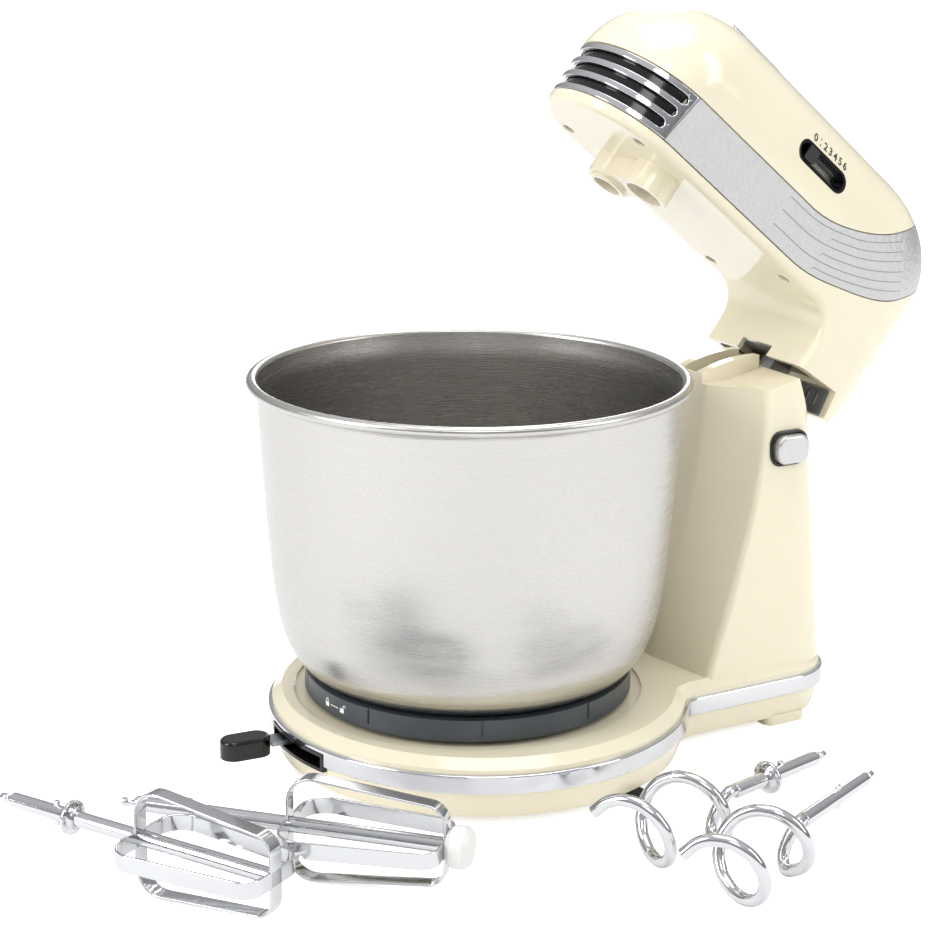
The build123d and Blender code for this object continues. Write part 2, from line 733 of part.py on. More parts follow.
CASE_SCREWS = ((28, -4), (-28, -4), (-28, 101), (28, 101))
with BuildPart() as lower_shell:
    add(OUTER)
    add(INNER, mode=Mode.SUBTRACT)
    add(head_zone(moved(LOW_EDGE, -BAND_GAP), True), mode=Mode.INTERSECT)
    # upstand behind the band, which carries the band and the upper cover
    upstand = BEHIND_BAND - BEHIND_INNER - BEHIND_INNER.translate((0, 0, -1.6))
    upstand = upstand & head_zone(moved(HIGH_EDGE, BAND_GAP - 0.05), True)
    add(upstand - head_zone(moved(LOW_EDGE, -BAND_GAP - 2), True))
    add(grille_window(0), mode=Mode.SUBTRACT)
    # boss under the nose for the two sockets
    with BuildSketch(Plane.XY.offset(SOCKET_MOUTH_Z + 1.5)):
        with Locations((-SOCKET_X, SOCKET_Y), (SOCKET_X, SOCKET_Y)):
            Circle(11.2)
        with Locations((0, SOCKET_Y)):
            Rectangle(2 * SOCKET_X, 17)
    extrude(amount=BELLY_Z + 1 - SOCKET_MOUTH_Z - 1.5)
    with BuildSketch(Plane.XY.offset(SOCKET_MOUTH_Z)):
        with Locations((SOCKET_X, SOCKET_Y)):
            Circle(11.2)
        with Locations((-SOCKET_X, SOCKET_Y)):
            Circle(9.0)
    extrude(amount=2)
    with BuildSketch(Plane.XY.offset(SOCKET_MOUTH_Z - 1)):
        with Locations((SOCKET_X, SOCKET_Y)):
            Circle(WIDE_MOUTH_R)
        with Locations((-SOCKET_X, SOCKET_Y)):
            Circle(NARROW_MOUTH_R)
    extrude(amount=20, mode=Mode.SUBTRACT)
    # the neck is open below, with a cut-out that passes over the cheeks
    with BuildSketch(Plane.XY.offset(NECK_BOTTOM_Z - 4)):
        with Locations((0, (NECK_FRONT_Y + 153) / 2 + 1)):
            RectangleRounded(2 * (NECK_HALF - WALL - 3), 153 - NECK_FRONT_Y - WALL - 1, 6)
    extrude(amount=12, mode=Mode.SUBTRACT)
    with BuildSketch(Plane.XZ.offset(-NECK_FRONT_Y + 5)):
        with Locations((0, NECK_BOTTOM_Z)):
            Rectangle(2 * (CHEEK_GAP_HALF + CHEEK_WALL + 1), 11)
    extrude(amount=-12, mode=Mode.SUBTRACT)
    # ledges under the hinge arm's flange
    ledge_x = flank_half(FLANGE_Z) - WALL / 2 - 3.3
    for x in (-ledge_x, ledge_x):
        with Locations((x, HINGE_Y, FLANGE_Z - 1.77)):
            Box(6.6, 12, 3.5)
    # recesses for the case screws
    with BuildSketch(Plane.XY.offset(BELLY_Z - 1)):
        with Locations(*CASE_SCREWS):
            Circle(3.2)
    extrude(amount=8, mode=Mode.SUBTRACT)
write_raised("lower_shell", lower_shell)


def front_of_seam(shift):
    """All space in front of the slanting seam between the grille and the band."""
    with BuildPart() as front:
        with BuildSketch(Plane.YZ):
            with BuildLine():
                Polyline(
                    (-60, 180),
                    (GRILLE_END_Y - GRILLE_SLANT - 2 + shift, 180),
                    (GRILLE_END_Y + GRILLE_SLANT + shift, 240),
                    (-60, 240),
                    close=True,
                )
            make_face()
        extrude(amount=80, both=True)
    return front.part


BAND_SKIN = (OUTER - head_form(BAND_WALL)) & head_zone(moved(HIGH_EDGE, 0), True)
BAND_SKIN = BAND_SKIN - BELOW_BAND

with BuildPart() as side_band:
    add(BAND_SKIN)
    add(front_of_seam(SEAM / 2), mode=Mode.SUBTRACT)
write_raised("side_band", side_band)

GRILLE_ROWS = 3
GRILLE_PITCH = 7.1
GRILLE_SLOT = 4.3
with BuildPart() as front_grille:
    add(BAND_SKIN)
    add(front_of_seam(-SEAM / 2), mode=Mode.INTERSECT)
    for row in range(GRILLE_ROWS):
        slot_z = (BAND_LOW_Z + BAND_HIGH_Z) / 2 + (row - 1) * GRILLE_PITCH
        slot_end_y = GRILLE_END_Y - 6.4 + 1.6 * row
        with BuildSketch(Plane.YZ):
            with Locations((slot_end_y - 50, slot_z)):
                SlotOverall(100, GRILLE_SLOT)
        extrude(amount=60, both=True, mode=Mode.SUBTRACT)
write_raised("front_grille", front_grille)

with BuildPart() as grille_backing:
    add(head_form(BAND_WALL + 0.5) - head_form(BAND_WALL + 1.4))
    add(grille_window(0.2), mode=Mode.INTERSECT)
write_raised("grille_backing", grille_backing)

# ================================================================ speed slider
BEZEL_BACK_X = 31.0
POCKET_X = 32.6
with BuildPart() as speed_bezel:
    with BuildSketch(Plane.YZ.offset(BEZEL_BACK_X)):
        with Locations((SPEED_Y, SPEED_Z)):
            SlotOverall(SPEED_LENGTH, SPEED_WIDTH)
    extrude(amount=12)
    add(OUTER, mode=Mode.INTERSECT)
    with BuildSketch(Plane.YZ.offset(POCKET_X)):
        with Locations((SPEED_Y, SPEED_Z)):
            SlotOverall(SPEED_LENGTH - 2.6, SPEED_WIDTH - 2.6)
    extrude(amount=12, mode=Mode.SUBTRACT)
    with BuildSketch(Plane.YZ.offset(BEZEL_BACK_X - 1)):
        with Locations((SPEED_Y, SPEED_Z)):
            Rectangle(25, 2.8)
    extrude(amount=6, mode=Mode.SUBTRACT)
write_raised("speed_bezel", speed_bezel)

SLIDER_LENGTH = 7.0
SLIDER_TRAVEL = 18.0
with BuildPart() as speed_slider:
    with BuildSketch(Plane.YZ.offset(POCKET_X + SEAM)):
        with Locations((SPEED_Y - SLIDER_TRAVEL / 2, SPEED_Z)):
            RectangleRounded(SLIDER_LENGTH, SPEED_WIDTH - 3.6, 1.2)
    extrude(amount=5.2)
    with BuildSketch(Plane.YZ.offset(BEZEL_BACK_X - 1.8)):
        with Locations((SPEED_Y - SLIDER_TRAVEL / 2, SPEED_Z)):
            Rectangle(4.0, 2.0)
    extrude(amount=4)
write_raised("speed_slider", speed_slider)

with BuildPart() as speed_switch:
    with BuildSketch(Plane.YZ.offset(24.4)):
        with Locations((SPEED_Y, SPEED_Z - 1)):
            Rectangle(36, 9)
    extrude(amount=4.5)
    for end_y in (SPEED_Y - 15.6, SPEED_Y + 15.6):
        with Locations((29.4, end_y, SPEED_Z - 1)):
            Box(3.0, 2.0, 6)
write_raised("speed_switch", speed_switch)

# ================================================================ eject button
WELL_FLOOR_Z = 257.0
EJECT_BASE_Z = WELL_FLOOR_Z + EJECT_TRAVEL + 1.3
EJECT_TOP_Z = HEAD_CROWN_Z + 2.0
with BuildPart() as eject_bezel:
    with BuildSketch(Plane.XY.offset(WELL_FLOOR_Z - 1.6)):
        with Locations((0, EJECT_Y)):
            RectangleRounded(EJECT_WIDTH + 3.0, EJECT_LENGTH + 3.0, 4.9)
    extrude(amount=20)
    add(OUTER, mode=Mode.INTERSECT)
    with BuildSketch(Plane.XY.offset(WELL_FLOOR_Z)):
        with Locations((0, EJECT_Y)):
            RectangleRounded(EJECT_WIDTH + 0.8, EJECT_LENGTH + 0.8, 3.9)
    extrude(amount=20, mode=Mode.SUBTRACT)
    with BuildSketch(Plane.XY.offset(WELL_FLOOR_Z - 4)):
        with Locations((0, EJECT_Y)):
            Rectangle(6.0, 9.0)
    extrude(amount=8, mode=Mode.SUBTRACT)
write_raised("eject_bezel", eject_bezel)

STEM_BOTTOM_Z = MOTOR_Z + 22.0
with BuildPart() as eject_button:
    with BuildSketch(Plane.XY.offset(EJECT_BASE_Z)):
        with Locations((0, EJECT_Y)):
            RectangleRounded(EJECT_WIDTH, EJECT_LENGTH, 3.5)
    extrude(amount=EJECT_TOP_Z - EJECT_BASE_Z)
    fillet(eject_button.faces().sort_by(Axis.Z)[-1].edges(), 1.6)
    with BuildSketch(Plane.XY.offset(STEM_BOTTOM_Z)):
        with Locations((0, EJECT_Y)):
            Rectangle(5.0, 8.0)
    extrude(amount=EJECT_BASE_Z - STEM_BOTTOM_Z)
write_raised("eject_button", eject_button)

with BuildPart() as eject_spring:
    for end_y in (EJECT_Y - 12, EJECT_Y + 12):
        with Locations((0, end_y, WELL_FLOOR_Z + 0.45)):
            Torus(4.0, 0.4)
write_raised("eject_spring", eject_spring)

# ================================================================ neck
VENT_HALF = 33.0
VENT_SHEET = 1.5
with BuildPart() as neck_vent_cover:
    with BuildSketch(Plane.YZ) as vent:
        with BuildLine():
            Polyline(
                (155.3, NECK_BOTTOM_Z + 1.4),
                (158.0, LIP_Z + 0.2),
                (158.0 - VENT_SHEET, LIP_Z + 0.2),
                (155.3 - VENT_SHEET, NECK_BOTTOM_Z + 1.4),
                close=True,
            )
        make_face()
    extrude(amount=VENT_HALF, both=True)
    with BuildSketch(Plane.XZ.offset(-150)):
        for x in (-27, -21, -15, 15, 21, 27):
            with Locations((x, NECK_BOTTOM_Z - 4)):
                SlotOverall(6.5, 2.2, rotation=90)
    extrude(amount=-12, mode=Mode.SUBTRACT)
write_raised("neck_vent_cover", neck_vent_cover)

ARM_HALF = 4.4
with BuildPart() as hinge_arm:
    with BuildSketch(Plane.YZ):
        with Locations((HINGE_Y, HINGE_Z)):
            Circle(9)
            Circle(HINGE_PIN_R + RUN, mode=Mode.SUBTRACT)
        with BuildLine():
            Polyline(
                (HINGE_Y - 6, HINGE_Z + 5.5),
                (HINGE_Y + 4.6, HINGE_Z + 5.5),
                (HINGE_Y + 4.6, FLANGE_Z + 10),
                (HINGE_Y - 6, FLANGE_Z + 10),
                close=True,
            )
        make_face()
    extrude(amount=ARM_HALF, both=True)
    with BuildSketch(Plane.XY.offset(FLANGE_Z)):
        with Locations((0, HINGE_Y)):
            Rectangle(2 * (flank_half(FLANGE_Z) - WALL - 0.75), 14)
    extrude(amount=2.5)
write_raised("hinge_arm", hinge_arm)

# ================================================================ gearbox, spindles and motor
HOUSING_BOTTOM_Z = BELLY_Z + WALL + 0.1
HOUSING_TOP_Z = MOTOR_Z + 14.0
HOUSING_WALL = 2.5
SPINDLE_R = 5.0
SPINDLE_BOTTOM_Z = 184.0
SPINDLE_TOP_Z = MOTOR_Z + 8.0
WHEEL_R = SOCKET_X - WORM_R - 0.3
with BuildPart() as gearbox_housing:
    with BuildSketch(Plane.XY.offset(HOUSING_BOTTOM_Z)):
        with Locations((0, SOCKET_Y)):
            RectangleRounded(2 * (SOCKET_X + WHEEL_R + 3.6), 2 * WHEEL_R + 7.2, 6)
    extrude(amount=HOUSING_TOP_Z - HOUSING_BOTTOM_Z)
    with BuildSketch(Plane.XY.offset(MOTOR_Z - 8)):
        with Locations((0, SOCKET_Y)):
            RectangleRounded(2 * (SOCKET_X + WHEEL_R + 1.1), 2 * WHEEL_R + 2.2, 4)
    extrude(amount=19, mode=Mode.SUBTRACT)
    with BuildSketch(Plane.XY.offset(HOUSING_BOTTOM_Z - 1)):
        with Locations((-SOCKET_X, SOCKET_Y), (SOCKET_X, SOCKET_Y)):
            Circle(SPINDLE_R + RUN)
    extrude(amount=MOTOR_Z - HOUSING_BOTTOM_Z, mode=Mode.SUBTRACT)
    with BuildSketch(Plane.XZ.offset(10)):
        with Locations((0, MOTOR_Z)):
            Circle(SHAFT_R + RUN)
    extrude(amount=-60, mode=Mode.SUBTRACT)
    with BuildSketch(Plane.XZ.offset(-SOCKET_Y - 4)):
        with Locations((0, MOTOR_Z)):
            Circle(WORM_R + 0.4)
    extrude(amount=-20, mode=Mode.SUBTRACT)
write_raised("gearbox_housing", gearbox_housing)

for side, x in (("left", -SOCKET_X), ("right", SOCKET_X)):
    with BuildPart() as spindle:
        with BuildSketch(Plane.XY.offset(SPINDLE_BOTTOM_Z)):
            with Locations((x, SOCKET_Y)):
                Circle(SPINDLE_R)
        extrude(amount=SPINDLE_TOP_Z - SPINDLE_BOTTOM_Z)
        with BuildSketch(Plane.XY.offset(SPINDLE_BOTTOM_Z)):
            with Locations((x, SOCKET_Y)):
                Circle(SOCKET_BORE_R)
        extrude(amount=SPINDLE_TOP_Z - SPINDLE_BOTTOM_Z - 3, mode=Mode.SUBTRACT)
    write_raised(f"{side}_spindle", spindle)

    with BuildPart() as worm_wheel:
        with BuildSketch(Plane.XY.offset(MOTOR_Z - 5)):
            with Locations((x, SOCKET_Y)):
                Circle(WHEEL_R - 1.4)
                with PolarLocations(WHEEL_R - 1.0, WHEEL_TEETH):
                    Rectangle(2.0, 1.5)
                Circle(SPINDLE_R + 0.02, mode=Mode.SUBTRACT)
        extrude(amount=10)
    write_raised(f"{side}_worm_wheel", worm_wheel)

with BuildPart() as socket_rings:
    for x, mouth_r in ((-SOCKET_X, NARROW_MOUTH_R), (SOCKET_X, WIDE_MOUTH_R)):
        with BuildSketch(Plane.XY.offset(BELLY_Z - 4)):
            with Locations((x, SOCKET_Y)):
                Circle(mouth_r - 0.02)
                Circle(SPINDLE_R + RUN, mode=Mode.SUBTRACT)
        extrude(amount=5)
write_raised("socket_rings", socket_rings)

ROTOR_R = 12.5
SHAFT_FRONT_Y = SOCKET_Y - WHEEL_R - 3.2
SHAFT_REAR_Y = 136.0
with BuildPart() as motor_shaft:
    with BuildSketch(Plane.XZ.offset(-SHAFT_FRONT_Y)):
        with Locations((0, MOTOR_Z)):
            Circle(SHAFT_R)
    extrude(amount=-(SHAFT_REAR_Y - SHAFT_FRONT_Y))
    # worm, its thread drawn as rings
    for turn in range(9):
        with Locations(Location((0, SOCKET_Y - 8 + 2 * turn, MOTOR_Z), (90, 0, 0))):
            Cylinder(WORM_R, 1.1)
write_raised("motor_shaft", motor_shaft)

with BuildPart() as rotor_core:
    with BuildSketch(Plane.XZ.offset(-MOTOR_FRONT_Y)):
        with Locations((0, MOTOR_Z)):
            Circle(ROTOR_R)
            with PolarLocations(ROTOR_R - 2, 12):
                Rectangle(4.5, 1.6, mode=Mode.SUBTRACT)
        with Locations((0, MOTOR_Z)):
            Circle(SHAFT_R + 0.02, mode=Mode.SUBTRACT)
    extrude(amount=-MOTOR_LENGTH)
write_raised("rotor_core", rotor_core)

COMMUTATOR_Y = MOTOR_FRONT_Y + MOTOR_LENGTH + 2
with BuildPart() as commutator:
    with BuildSketch(Plane.XZ.offset(-COMMUTATOR_Y)):
        with Locations((0, MOTOR_Z)):
            Circle(7)
            Circle(SHAFT_R + 0.02, mode=Mode.SUBTRACT)
    extrude(amount=-8)
write_raised("commutator", commutator)

FAN_Y = COMMUTATOR_Y + 11
with BuildPart() as cooling_fan:
    with BuildSketch(Plane.XZ.offset(-FAN_Y)):
        with Locations((0, MOTOR_Z)):
            Circle(20)
            Circle(SHAFT_R + 0.02, mode=Mode.SUBTRACT)
    extrude(amount=-1.5)
    with BuildSketch(Plane.XZ.offset(-FAN_Y)):
        with Locations((0, MOTOR_Z)):
            with PolarLocations(12.5, 9):
                Rectangle(13, 1.4, rotation=25)
            Circle(6.5)
        with Locations((0, MOTOR_Z)):
            Circle(SHAFT_R + 0.02, mode=Mode.SUBTRACT)
    extrude(amount=-7)
write_raised("cooling_fan", cooling_fan)

with BuildPart() as motor_stator:
    with BuildSketch(Plane.XZ.offset(-MOTOR_FRONT_Y)):
        with Locations((0, MOTOR_Z)):
            RectangleRounded(2 * MOTOR_HALF, 2 * MOTOR_HALF, 7)
            Circle(ROTOR_R + 0.5, mode=Mode.SUBTRACT)
    extrude(amount=-MOTOR_LENGTH)
write_raised("motor_stator", motor_stator)

with BuildPart() as brush_holders:
    for x in (-12.3, 12.3):
        with Locations((x, COMMUTATOR_Y + 3, MOTOR_Z)):
            Box(10, 9.8, 7)
write_raised("brush_holders", brush_holders)

BRACKET_FRONT_Y = MOTOR_FRONT_Y - 8
BRACKET_REAR_Y = SHAFT_REAR_Y - 6
with BuildPart() as motor_bracket:
    with BuildSketch(Plane.XY.offset(BELLY_Z + WALL + 0.1)):
        with Locations((0, (BRACKET_FRONT_Y + MOTOR_FRONT_Y + MOTOR_LENGTH) / 2)):
            Rectangle(40, MOTOR_FRONT_Y + MOTOR_LENGTH - BRACKET_FRONT_Y)
    extrude(amount=MOTOR_Z - MOTOR_HALF - 0.1 - BELLY_Z - WALL - 0.1)
    with BuildSketch(Plane.XZ.offset(-BRACKET_FRONT_Y)):
        with Locations((0, (MOTOR_Z + BELLY_Z + WALL + 14) / 2)):
            Rectangle(30, MOTOR_Z + 13.8 - BELLY_Z - WALL)
        with Locations((0, MOTOR_Z)):
            Circle(6.02, mode=Mode.SUBTRACT)
    extrude(amount=-3)
    # two stringers under the fan carry the rear bearing plate
    for x in (-19, 19):
        with Locations((x, (BRACKET_FRONT_Y + 18 + BRACKET_REAR_Y + 3) / 2, BELLY_Z + WALL + 2.1)):
            Box(8, BRACKET_REAR_Y + 3 - BRACKET_FRONT_Y - 18, 4)
    with BuildSketch(Plane.XZ.offset(-BRACKET_REAR_Y)):
        with Locations((0, (MOTOR_Z + BELLY_Z + WALL + 9) / 2)):
            Rectangle(56, MOTOR_Z + 8.8 - BELLY_Z - WALL)
        with Locations((0, MOTOR_Z)):
            Circle(6.02, mode=Mode.SUBTRACT)
    extrude(amount=-3)
write_raised("motor_bracket", motor_bracket)

with BuildPart() as motor_bushes:
    for bush_y in (BRACKET_FRONT_Y - 1, BRACKET_REAR_Y - 1):
        with BuildSketch(Plane.XZ.offset(-bush_y)):
            with Locations((0, MOTOR_Z)):
                Circle(6)
                Circle(SHAFT_R + RUN, mode=Mode.SUBTRACT)
        extrude(amount=-5)
write_raised("motor_bushes", motor_bushes)

with BuildPart() as head_screws:
    for x, y in CASE_SCREWS:
        with Locations((x, y, BELLY_Z + WALL / 2 + 0.6)):
            Cylinder(3.0, 2.0)
        with Locations((x, y, BELLY_Z + WALL / 2 + 5)):
            Cylinder(1.5, 9.0)
write_raised("head_screws", head_screws)


# ================================================================ beaters and dough hooks
def lay_down(builder, tip, heading, height):
    """Lays an upright tool on the table: its tip over a point, its shaft along a heading."""
    turned = builder.part.rotate(Axis.Y, 90)
    turned = turned.rotate(Axis.Z, heading)
    builder.part = turned.translate((tip[0], tip[1], height))


def shaft_profile(end_z):
    """Half outline of a tool's shaft: the latching groove near its tip, then the plain rod."""
    groove = [(0, 0), (1.8, 0.6), (1.8, 3.4), (1.2, 4.0), (1.2, 5.2), (2.2, 6.0)]
    return groove + [(TOOL_SHAFT_R, 7.0), (TOOL_SHAFT_R, end_z), (0, end_z)]


def tool_shaft(end_z, collared):
    """A tool's shaft with its two drive pins and, on one of each pair, the keyed collar."""
    with BuildPart() as shaft:
        with BuildSketch(Plane.XZ):
            with BuildLine():
                Polyline(*shaft_profile(end_z), close=True)
            make_face()
            if collared:
                with Locations((COLLAR_R / 2 + 0.5, 38)):
                    Rectangle(COLLAR_R - 1, 1.6)
                with Locations((TOOL_SHAFT_R + 0.4, 38)):
                    Rectangle(2.4, 5.0)
        revolve(axis=Axis.Z)
        with Locations((0, 0, 30)):
            Box(2 * TOOL_SHAFT_R + 4.4, 2.2, 2.6)
    return shaft.part


def blade_form(inset):
    """The block inside one blade of the cage: square shoulders by the shaft, narrower at its foot."""
    top_z = TOOL_LENGTH - CAGE_LENGTH + inset
    end_z = TOOL_LENGTH - inset
    with BuildPart() as form:
        with BuildSketch(Plane.XZ) as outline:
            with BuildLine():
                Polyline(
                    (-CAGE_HALF + inset, top_z),
                    (CAGE_HALF - inset, top_z),
                    (CAGE_FOOT_HALF - inset, end_z),
                    (-CAGE_FOOT_HALF + inset, end_z),
                    close=True,
                )
            make_face()
            fillet(outline.vertices().group_by(Axis.Y)[0], SHOULDER_R - inset)
            fillet(outline.vertices().group_by(Axis.Y)[-1], FOOT_R - inset)
        extrude(amount=BLADE_WIDTH / 2 + inset, both=True)
    return form.part


def cage():
    """Two closed strips crossing at right angles round the end of the shaft."""
    strip = blade_form(0) - blade_form(BLADE_SHEET)
    return strip + strip.rotate(Axis.Z, 90)


CAGE_AXIS_Z = CAGE_HALF - 0.6
HUB_R = 8.5
BEATER_TIP = {"beater_collared": (2.0, -219.2, 28.8), "beater_plain": (30.1, -178.3, 43.6)}
for name, (tip_x, tip_y, heading) in BEATER_TIP.items():
    with BuildPart() as beater:
        add(tool_shaft(TOOL_LENGTH - 1, name == "beater_collared"))
        add(cage())
    lay_down(beater, (tip_x, tip_y), heading, CAGE_AXIS_Z)
    write(name, beater)

with BuildPart() as beater_hub:
    with BuildSketch(Plane.XZ):
        with BuildLine():
            Polyline(
                (0, TOOL_LENGTH + 0.1),
                (HUB_R - 2, TOOL_LENGTH + 0.1),
                (HUB_R, TOOL_LENGTH + 2.5),
                (HUB_R, TOOL_LENGTH + 7.5),
                (HUB_R - 2, TOOL_LENGTH + 9.6),
                (0, TOOL_LENGTH + 10.4),
                close=True,
            )
        make_face()
    revolve(axis=Axis.Z)
lay_down(beater_hub, BEATER_TIP["beater_plain"][:2], BEATER_TIP["beater_plain"][2], CAGE_AXIS_Z)
write("beater_hub", beater_hub)

HOOK_PITCH = 34.0
HOOK_START_Z = 70.0
HOOK_TURNS = 1.6
HOOK_POINTS = 6
HOOK_BEND_R = 11.0
HOOK_AXIS_Z = HOOK_COIL_R + HOOK_WIRE_R + 0.4


def hook_route():
    """Corner points of the hook's wire: off the end of the shaft, then round the coil."""
    route = [(0, 0, HOOK_START_Z - 14), (0, 0, HOOK_START_Z - 4)]
    corner_r = 1.08 * HOOK_COIL_R
    for step in range(round(HOOK_TURNS * HOOK_POINTS) + 1):
        turn = 2 * math.pi * step / HOOK_POINTS
        rise = HOOK_START_Z + 3 + HOOK_PITCH * step / HOOK_POINTS
        route.append((corner_r * math.cos(turn), corner_r * math.sin(turn), rise))
    return route


HOOK_TIP = {"dough_hook_collared": (121.5, 108.6, -77.4), "dough_hook_plain": (148.0, 112.6, -67.5)}
for name, (tip_x, tip_y, heading) in HOOK_TIP.items():
    with BuildPart() as hook:
        with BuildLine() as wire:
            FilletPolyline(*hook_route(), radius=HOOK_BEND_R)
        with BuildSketch(Plane(origin=wire.line @ 0, z_dir=wire.line % 0)):
            Circle(HOOK_WIRE_R)
        sweep()
        add(tool_shaft(HOOK_START_Z - 10, name == "dough_hook_collared"))
    lay_down(hook, (tip_x, tip_y), heading, HOOK_AXIS_Z)
    write(name, hook)
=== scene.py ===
import math

import bmesh
import bpy
from mathutils import Matrix, Vector
from mathutils.bvhtree import BVHTree


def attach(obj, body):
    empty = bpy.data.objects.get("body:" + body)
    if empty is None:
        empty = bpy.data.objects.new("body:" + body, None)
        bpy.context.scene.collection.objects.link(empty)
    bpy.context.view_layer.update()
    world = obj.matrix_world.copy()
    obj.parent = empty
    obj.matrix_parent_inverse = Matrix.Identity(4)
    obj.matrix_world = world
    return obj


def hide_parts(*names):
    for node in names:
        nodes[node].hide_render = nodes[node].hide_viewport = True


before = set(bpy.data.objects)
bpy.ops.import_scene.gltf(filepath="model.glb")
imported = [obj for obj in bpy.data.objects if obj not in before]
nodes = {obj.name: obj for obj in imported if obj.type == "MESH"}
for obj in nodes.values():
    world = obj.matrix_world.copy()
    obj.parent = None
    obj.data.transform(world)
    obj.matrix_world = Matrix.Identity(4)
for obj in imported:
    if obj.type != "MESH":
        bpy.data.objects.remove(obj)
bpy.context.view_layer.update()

# ---------------------------------------------------------------- studio
# A seamless pale sheet under soft boxes, with the camera above the table in front of the mixer's
# right side, looking slightly down. The room is pale overhead and dimmer near the floor.
scene = bpy.context.scene
scene.view_settings.view_transform = "Standard"


def linear(hex_colour):
    """An sRGB hex colour as the linear value that shaders take."""
    parts = [int(hex_colour[i:i + 2], 16) / 255 for i in (1, 3, 5)]
    return [p / 12.92 if p < 0.04045 else ((p + 0.055) / 1.055) ** 2.4 for p in parts] + [1.0]


def add_node(material, kind, inputs=None, **settings):
    """Adds a node, sets what it is told and links what it is given; returns the node."""
    made = material.node_tree.nodes.new(kind)
    for name, value in settings.items():
        setattr(made, name, value)
    for name, value in (inputs or {}).items():
        if isinstance(value, bpy.types.NodeSocket):
            material.node_tree.links.new(value, made.inputs[name])
        else:
            made.inputs[name].default_value = value
    return made


def start_material(name):
    material = bpy.data.materials.new(name)
    material.use_nodes = True
    material.node_tree.nodes.clear()
    return material


camera_data = bpy.data.cameras.new("camera")
camera_data.lens = 83.7
camera_data.sensor_width = 36
camera_data.clip_end = 60
camera = bpy.data.objects.new("camera", camera_data)
pitch, roll, heading = 0.271, 0.007, math.radians(150.1)
level_forward = Vector((math.cos(heading), math.sin(heading), 0))
forward = level_forward * math.cos(pitch) - Vector((0, 0, math.sin(pitch)))
level_right = Vector((math.sin(heading), -math.cos(heading), 0))
level_up = level_right.cross(forward)
right = level_right * math.cos(roll) + level_up * math.sin(roll)
up = level_up * math.cos(roll) - level_right * math.sin(roll)
CAMERA_PLACE = Vector((0.7976, -0.4605, 0.388))
camera.matrix_world = Matrix.LocRotScale(
    CAMERA_PLACE, Matrix((right, up, -forward)).transposed(), None
)
scene.collection.objects.link(camera)
scene.camera = camera

world = bpy.data.worlds.new("studio_air")
world.use_nodes = True
ROOM_SHADING = (("From Min", -0.1), ("From Max", 0.9), ("To Min", 0.2), ("To Max", 0.85))
room_side = world.node_tree.nodes.new("ShaderNodeTexCoord")
room_split = world.node_tree.nodes.new("ShaderNodeSeparateXYZ")
world.node_tree.links.new(room_side.outputs["Generated"], room_split.inputs["Vector"])
room_shade = world.node_tree.nodes.new("ShaderNodeMapRange")
world.node_tree.links.new(room_split.outputs["Z"], room_shade.inputs["Value"])
for name, value in ROOM_SHADING:
    room_shade.inputs[name].default_value = value
room_light = world.node_tree.nodes["Background"]
room_light.inputs["Color"].default_value = linear("#F4F5F7")
world.node_tree.links.new(room_shade.outputs["Result"], room_light.inputs["Strength"])
scene.world = world

BOWL_MIDDLE = Vector((0, 0, 0.15))
SOFT_BOXES = [
    ("key_box", (-0.1, -2.1, 1.2), (0.7, 1.8), 30),
    ("fill_box", (1.7, 1.5, 1.2), (0.6, 1.6), 14),
    ("camera_box", (2.2, -1.0, 2.2), (1.0, 0.8), 12),
    ("top_box", (0.1, 0.2, 2.4), (1.6, 1.6), 26),
    ("rear_strip", (-1.6, 1.2, 1.0), (0.5, 1.6), 12),
]
for name, place, size, power in SOFT_BOXES:
    light = bpy.data.lights.new(name, "AREA")
    light.shape = "RECTANGLE"
    light.size, light.size_y = size
    light.energy = power
    lamp = bpy.data.objects.new(name, light)
    lamp.location = place
    toward = BOWL_MIDDLE - Vector(place)
    lamp.rotation_euler = toward.to_track_quat("-Z", "Y").to_euler()
    scene.collection.objects.link(lamp)

# Matt paper sheet that the mixer stands on. It glows a little to the eye, so that it reads as
# white, but doesn't light the steel, which would mirror it as one flat patch.
PAPER_GLOW = 0.65
paper = start_material("matt_white_paper")
paper_fibre = add_node(paper, "ShaderNodeTexNoise", {"Scale": 900.0, "Detail": 3.0})
paper_bump = add_node(
    paper,
    "ShaderNodeBump",
    {"Height": paper_fibre.outputs["Fac"], "Strength": 0.03, "Distance": 0.0002},
)
paper_seen = add_node(paper, "ShaderNodeLightPath")
paper_glow = add_node(
    paper,
    "ShaderNodeMath",
    {0: paper_seen.outputs["Is Camera Ray"], 1: PAPER_GLOW},
    operation="MULTIPLY",
)
paper_shader = add_node(
    paper,
    "ShaderNodeBsdfPrincipled",
    {
        "Base Color": linear("#FAFAFA"),
        "Roughness": 0.85,
        "Normal": paper_bump.outputs["Normal"],
        "Emission Color": linear("#FFFFFF"),
        "Emission Strength": paper_glow.outputs["Value"],
    },
)
add_node(paper, "ShaderNodeOutputMaterial", {"Surface": paper_shader.outputs["BSDF"]})
sheet_mesh = bpy.data.meshes.new("paper_sheet")
SHEET_HALF = 20.0
sheet_mesh.from_pydata(
    [
        (-SHEET_HALF, -SHEET_HALF, 0),
        (SHEET_HALF, -SHEET_HALF, 0),
        (SHEET_HALF, SHEET_HALF, 0),
        (-SHEET_HALF, SHEET_HALF, 0),
    ],
    [],
    [(0, 1, 2, 3)],
)
sheet_mesh.materials.append(paper)
paper_sheet = bpy.data.objects.new("paper_sheet", sheet_mesh)
scene.collection.objects.link(paper_sheet)


